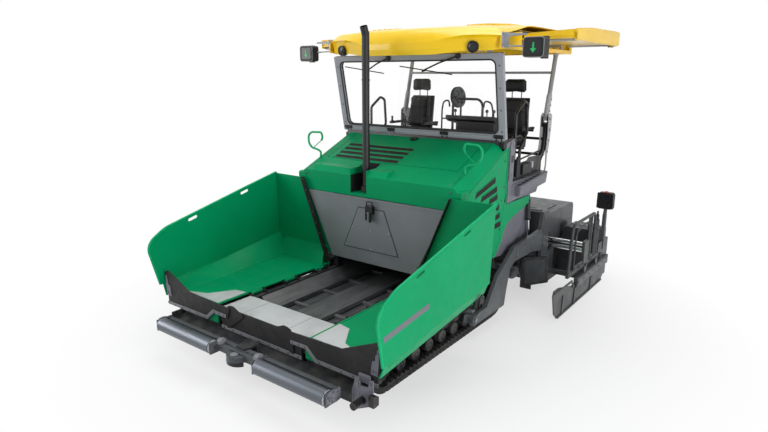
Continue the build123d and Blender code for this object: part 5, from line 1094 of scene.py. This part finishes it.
# name, size, place behind and above the seat's centre, tilt, channels and taper
PADS = (
    ("seat_pad", (462, 404, 104), (-30, 61), 0, ((0, -150), (0, 150), (1, -90)), 0.0),
    ("seat_back", (430, 500, 96), (207, 380), UPRIGHT - math.atan(0.1576),
        ((0, -140), (0, 140), (1, 60)), 0.26),
    ("head_pad", (330, 190, 76), (259, 780), UPRIGHT, ((0, -110), (0, 110)), 0.10),
)
for side, sign in SIDES:
    for name, size, (y, z), tilt, groove, taper in PADS:
        centre = (SEAT_X * sign, SEAT_Y + y, SEAT_Z + z)
        obj = pad(f"{name}_{side}", f"seat_{side}", size, centre, tilt, groove, taper)
        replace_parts(obj, f"seat_cushions_{side}")
for p in both("seat_shell", "seat_{side}", PLASTIC, BLACK, STEEL, bevel=3):
    cx, cy, cz = SEAT_X, SEAT_Y, SEAT_Z
    # bellows, pan, back shell, headrest stalks and armrests
    for k in range(5):
        z = 2046 + k * 14
        p.lathe((cx, cy, z), UP, ((0, 118), (7, 130), (14, 118)), 32)
    p.rod((cx, cy, 1995.3), (cx, cy, 2050), 115, 32)
    p.prism("z", 2114, 2140, ((cx - 225, cy - 225), (cx + 225, cy - 225), (cx + 232, cy + 150),
        (cx + 190, cy + 215), (cx - 190, cy + 215), (cx - 232, cy + 150)))
    p.prism("x", cx - 195, cx + 195, ((cy + 196, 2085), (cy + 262, 2085), (cy + 284, 2260),
        (cy + 332, 2745), (cy + 318, 2760), (cy + 306, 2745), (cy + 229, 2262)))
    p.box((cx - 190, cx + 190), (cy + 150, cy + 240), (2055, 2105))
    for s in (-1, 1):
        p.prism("y", cy - 160, cy + 250, rounded(cx + s * 292, cz + 211, 26, 19, 14))
        p.box((cx + s * 188, cx + s * 300), (cy + 245, cy + 268), (2305, 2345))
        p.of(BLACK).lathe((cx + s * 292, cy - 120, cz + 232), UP,
            ((0, 22), (12, 22), (16, 14), (40, 13), (46, 17), (70, 16), (76, 8)), 20)
        p.of(STEEL).rod((cx + s * 70, cy + 312, 2700), (cx + s * 70, cy + 312, 2900), 8, 12)
        p.of(PLASTIC)
    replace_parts(p.done(), f"seat_{'left' if not p.flip else 'right'}")

# ---- console
p = Piece("console_desk", "console", PLASTIC, BLACK, LENS, ORANGE_PAINTED_GLOW, SILVER, bevel=5)
cy = Y_SHIELD + 440
p.prism("x", 252, 958, ((cy - 178, 2502), (cy - 168, 2552), (cy + 58, 2520), (cy + 188, 2440),
    (cy + 178, 2404), (cy + 40, 2440), (cy - 120, 2470)))
p.prism("y", cy - 150, cy + 90, ((400, 2230), (430, 2216), (920, 2216), (948, 2240), (948, 2476),
    (400, 2476)))
p.prism("y", cy - 60, cy + 60, ((520, 2171), (840, 2171), (820, 2262), (540, 2262)))
for e in (-1, 1):
    p.box((520, 840), (cy + e * 33, cy + e * 52), (2136, 2172))
p.of(LENS).box((480, 700), (cy + 64, cy + 168), (2483, 2491), tip(-0.55))
p.of(SILVER)
for k in range(6):
    p.rod((300 + k * 30, cy + 90, 2500), (300 + k * 30, cy + 92, 2512), 9, 14)
p.of(BLACK)
for x, y in ((760, cy + 30), (860, cy + 30), (330, cy - 40)):
    p.rod((x, y, 2515), (x, y - 8, 2590), 7, 12)
    p.lathe((x, y - 8, 2585), UP, ((0, 10), (8, 20), (26, 21), (38, 12), (42, 3)), 20)
# painted glow on the orange button
p.of(ORANGE_PAINTED_GLOW).lathe((900, cy + 20, 2516), UP, ((0, 14), (10, 16), (14, 10), (15, 3)), 20)
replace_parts(p.done(), "console")

# ---- tow arms and lift
for p in both("arm_fittings", "screed", ARM_GREY, BOLT, BLACK, bevel=2.5):
    # cover plate, gussets, bolts and the hook near the tow point
    p.prism("x", ARM_X, 1329.5, ((640, 742), (1130, 742), (1330, 716), (1330, 880),
        (1150, 890), (640, 874)))
    p.prism("x", ARM_X, 1335, ((-440, 196), (-330, 196), (-250, 250), (-330, 330), (-440, 296)))
    p.prism("x", ARM_X, 1328.5, ((1535, 300), (1730, 300), (1730, 1120), (1690, 1160),
        (1535, 1160)))
    p.of(BLACK).prism("x", 1240, 1274, ((-250, 330), (-200, 330), (-180, 400), (-205, 430),
        (-240, 400)))
    p.of(BOLT).bolts(spread("x", 1329.5, ((670, 770), (670, 850), (1100, 770),
        (1100, 855))), OUT, 12)
    p.bolts([(1335, -424 + 62 * math.cos(a), 246 + 40 * math.sin(a))
        for a in (0.8, 2.4, 3.9, 5.4)], OUT, 9)
    p.bolts([(1328.5, y, z) for y in (1560, 1705) for z in (340, 700, 1110)], OUT, 13, 4)
for p in both("lift_trim", "lift_barrel_{side}", BLACK, STEEL, slot="dark_grey_paint"):
    foot, eye = Vector((1200, 1214, 1440)), Vector((1200, 1300, 860))
    d = (eye - foot).normalized()
    p.rod(foot + d * 296, foot + d * 320, 36, 24)
    p.rod(foot + d * 30, foot + d * 52, 36, 24)
    p.of(STEEL).rod(foot + d * 90 + Vector((0, 36, 0)), foot + d * 270 + Vector((0, 36, 0)), 7, 10)
for p in both("auger_guard", "extension_{side}", DARK, BOLT, BAR_GREY, bevel=4):
    # boxed shield in front of the auger's end, hung from the extension's rail
    p.prism("y", 1290, 1334, ((1150, 548), (1495, 633), (1523, 258), (1165, 118)))
    p.box((1490, 1853), (1300, 1330), (430, 470))
    p.of(BAR_GREY).prism("y", 1284, 1291, ((1182, 520), (1468, 592), (1492, 286), (1196, 168)))
    p.of(BOLT).bolts(spread("y", 1284, ((1205, 500), (1450, 560), (1468, 305),
        (1216, 200))), FRONT, 9, 6)

# ---- augers
for p in both("auger_screw", "auger_{side}", STEEL, bevel=1):
    # one continuous ribbon in place of the stand-in discs, on its shaft
    p.rod((58.6, AUGER_Y, AUGER_Z), (1233.4, AUGER_Y, AUGER_Z), 45, 32)
    steps, count = 24, 124  # steps in a turn and in all
    blade = ((-7, 44), (-5, 198), (5, 198), (7, 44))
    ribbon = []
    for k in range(count + 1):
        c, s = circle(steps)[k % steps]
        x = 84 + (1206 - 84) * k / count
        ribbon.append([(x + dx, AUGER_Y + r * c, AUGER_Z + r * s) for dx, r in blade])
    p.skin(ribbon)
    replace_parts(p.done(), f"auger_{'left' if not p.flip else 'right'}")

# ---- screed
p = Piece("screed_fittings", "screed", ARM_GREY, BLACK, BOLT, bevel=3)
# raised service covers with their slots and bolts, the slots dark plates of painted shade; grab
# bars; plates on the front, and on the sides a dark sheet of painted shade at the extension's
# mouth
for s in (-1, 1):
    p.box((s * 120, s * 1120), (2000, 2560), (1088.3, 1098))
    p.of(BLACK)
    # painted shade: dark plates stand for the cover's slots
    for x in (420, 900):
        p.box((s * (x - 60), s * (x + 60)), (2120, 2160), (1098, 1101))
    p.of(ARM_GREY).tube(((s * 250, 2700, 1088), (s * 250, 2700, 1150), (s * 560, 2700, 1150),
        (s * 560, 2700, 1088)), 11, 10, 30)
    p.box((s * 900, s * 1180), (1925, 1932), (700, 840))
    # painted shade: dark sheet at the mouth where the extension enters the hood
    p.of(BLACK).prism("x", s * 1250.2, s * 1251.6,
        ((2420, 642), (2910, 642), (2910, 846), (2420, 846)))
    p.of(ARM_GREY)
p.of(BOLT).bolts([(s * x, y, 1098) for y in (2030, 2530) for s in (-1, 1)
    for x in (160, 640, 1080)], UP, 10, 6)
p.done()
for p in both("rod_chrome", "extension_{side}", CHROME, bevel=0):
    # bright skin on the visible part of the guide rods
    for z in (640, 730):
        p.rod((1256, 1858, z), (1811, 1858, z), 30.15, 48)
for p in both("extension_frame", "extension_{side}", DARK, BLACK, BOLT, SILVER,
        BAR_GREY, bevel=2.5):
    # uprights, spindles, brackets and the box's ribs and cover
    spindle_x = EXT_X - 9
    for y in (1960, 2060, 2300, 2380):
        p.rod((EXT_X, y, 480), (EXT_X, y, 1128 if y < 2213 else 1000), 15, 14)
    p.of(BLACK)
    for y in (2028, 2340):
        p.rod((spindle_x, y, 470), (spindle_x, y, 1080), 24, 16)
        p.rod((spindle_x, y, 1080), (spindle_x, y, 1130), 14, 12)
    p.of(DARK).box((1829, 1841), (1390, 2420), (456, 528))
    p.tube(((spindle_x, 1420, 480), (spindle_x, 1450, 1010), (spindle_x, 1960, 1060),
        (spindle_x, 1970, 480)), 13, 12, 90)
    p.prism("x", 1790, 1811, ((2430, 610), (2900, 610), (2900, 760), (2790, 830), (2560, 800),
        (2430, 700)))
    p.prism("y", 2440, 2880, ((1300, 601), (1790, 601), (1790, 740), (1700, 800), (1340, 800),
        (1300, 760)))
    p.box((1300, 1808), (2420, 2427.6), (60, 560))
    p.of(BOLT).bolts([(1841, y, 506) for y in range(1430, 2400, 160)], OUT, 11, 8)
    p.of(SILVER).rod((1340, 2660, 806), (1760, 2660, 806), 12, 14)
    p.of(BAR_GREY).prism("y", 2630, 2700, ((1806, 480), (1862, 480), (1856, 1010), (1842, 1120),
        (1824, 1120), (1810, 1010)))
for p in both("side_console", "extension_{side}", PLASTIC, LENS, ORANGE_PAINTED_GLOW, bevel=4):
    # operator's box on its post: bezel, keys and the orange button, which has a painted glow
    p.prism("y", 2612, 2710, rounded(EXT_X, 1236, 112, 124, 34))
    for s in (-1, 1):
        p.prism("x", EXT_X + s * 102, EXT_X + s * 118,
            ((2598, 1132), (2616, 1116), (2700, 1130), (2700, 1340), (2616, 1356), (2598, 1340)))
    p.of(LENS).prism("y", 2606, 2612, rounded(EXT_X, 1270, 62, 50, 12))
    for i in range(3):
        for z in (1190, 1154):
            x = EXT_X - 45 + i * 45
            p.rod((x, 2613, z), (x, 2604, z), 11, 14)
    p.of(ORANGE_PAINTED_GLOW).lathe((EXT_X, 2655, 1352), UP,
        ((0, 20), (6, 28), (20, 28), (26, 20), (28, 6)), 24)
for p in both("gate_fittings", "gate_{side}", DARK, BOLT, ARM_GREY, bevel=2):
    # wear bar, ribs, turnbuckles and lower shoe of the end gate
    p.prism("x", GATE_X, 1892, ((610, 392), (1240, 392), (1300, 300), (2752, 300), (2752, 262),
        (1290, 262), (1230, 356), (610, 372)))
    for y in (900, 1350, 2050):
        p.prism("x", GATE_X, 1890, ((y, 24), (y + 40, 24), (y + 60, 262), (y + 20, 262)))
    p.of(ARM_GREY).box((1912.3, 1918), (1380, 2740), (270, 362))
    p.of(BOLT).bolts([(1918, y, 316) for y in range(1420, 2740, 220)], OUT, 12, 8)
    for y in (1700, 2200):
        p.rod((1896, y, 381), (1896, y, 470), 13, 14)
        p.rod((1896, y, 410), (1896, y, 440), 20, 6)

# ---- studio
WHITE = (1.0, 1.0, 1.0, 1.0)


def in_view(tree):
    """1 for rays from the camera, through glass or off a glossy surface, else 0."""
    path = add_node(tree, "ShaderNodeLightPath")
    seen = path.outputs["Is Camera Ray"]
    for key in ("Is Transmission Ray", "Is Glossy Ray"):
        inputs = ((0, seen), (1, path.outputs[key]))
        seen = add_node(tree, "ShaderNodeMath", inputs, operation="MAXIMUM").outputs["Value"]
    return seen


def lamp(name, place, target, energy, size):
    """Soft square lamp aimed at a target."""
    data = bpy.data.lights.new(name, "AREA")
    data.energy = energy
    data.size = size
    obj = add_object(name, data)
    obj.location = place
    obj.rotation_euler = (Vector(target) - Vector(place)).to_track_quat("-Z", "Y").to_euler()


# soft light from all round, which the camera, glass and reflections see as white
scene = bpy.context.scene
scene.world = bpy.data.worlds.new("studio")
scene.world.use_nodes = True
tree = scene.world.node_tree
soft = tree.nodes["Background"]
put(tree, soft.inputs["Color"], (0.93, 0.96, 1.0, 1.0))
put(tree, soft.inputs["Strength"], 0.42)
white = add_node(tree, "ShaderNodeBackground", (("Color", WHITE), ("Strength", 1.0)))
pick = add_node(tree, "ShaderNodeMixShader", (
    ("Fac", in_view(tree)), (1, soft.outputs["Background"]), (2, white.outputs["Background"])))
put(tree, tree.nodes["World Output"].inputs["Surface"], pick.outputs["Shader"])

# pale floor that shows a shadow near the machine and turns to plain white farther off
mesh = bpy.data.meshes.new("floor")
mesh.from_pydata([(-60, -60, 0), (60, -60, 0), (60, 60, 0), (-60, 60, 0)], [], [(0, 1, 2, 3)])
floor = add_object("floor", mesh)
s = Shader("floor")
s.set(Base_Color=s.drift(0.8, 3, 0.3, 0.7, (0.80, 0.80, 0.80, 1.0), (0.83, 0.83, 0.83, 1.0)),
      Roughness=0.75, Specular_IOR_Level=0.2)
bright = s.add("ShaderNodeEmission", [("Color", WHITE)])
distance = s.add("ShaderNodeVectorMath", [(0, s.coord)], operation="LENGTH").outputs["Value"]
NEAR, FAR = 2.2, 4.4
share = s.math("MULTIPLY", in_view(s.tree), s.ramp(distance, NEAR, FAR, 0.6, 1.0))
blend = s.add("ShaderNodeMixShader", (
    ("Fac", share), (1, s.bsdf.outputs["BSDF"]), (2, bright.outputs["Emission"])))
put(s.tree, s.tree.nodes["Material Output"].inputs["Surface"], blend.outputs["Shader"])
mesh.materials.append(s.mat)

# place, target, watts and size
lamp("key", (9.5, -3.5, 1.75), (0, -0.4, 1.0), 420, 3.0)
lamp("fill", (-8.0, -7.0, 4.2), (0, -0.6, 1.0), 370, 5.0)
lamp("top", (0.5, 1.0, 9.5), (0, 0.2, 0), 470, 6.5)

camera_data = bpy.data.cameras.new("camera")
camera_data.lens = 26.73
camera_data.sensor_width = 36.0
camera = add_object("camera", camera_data)
camera.location = (4.224, -6.068, 3.041)
camera.rotation_euler = [math.radians(a) for a in (90 - 13.74, -0.16, 37.06)]
scene.camera = camera
scene.view_settings.view_transform = "Standard"
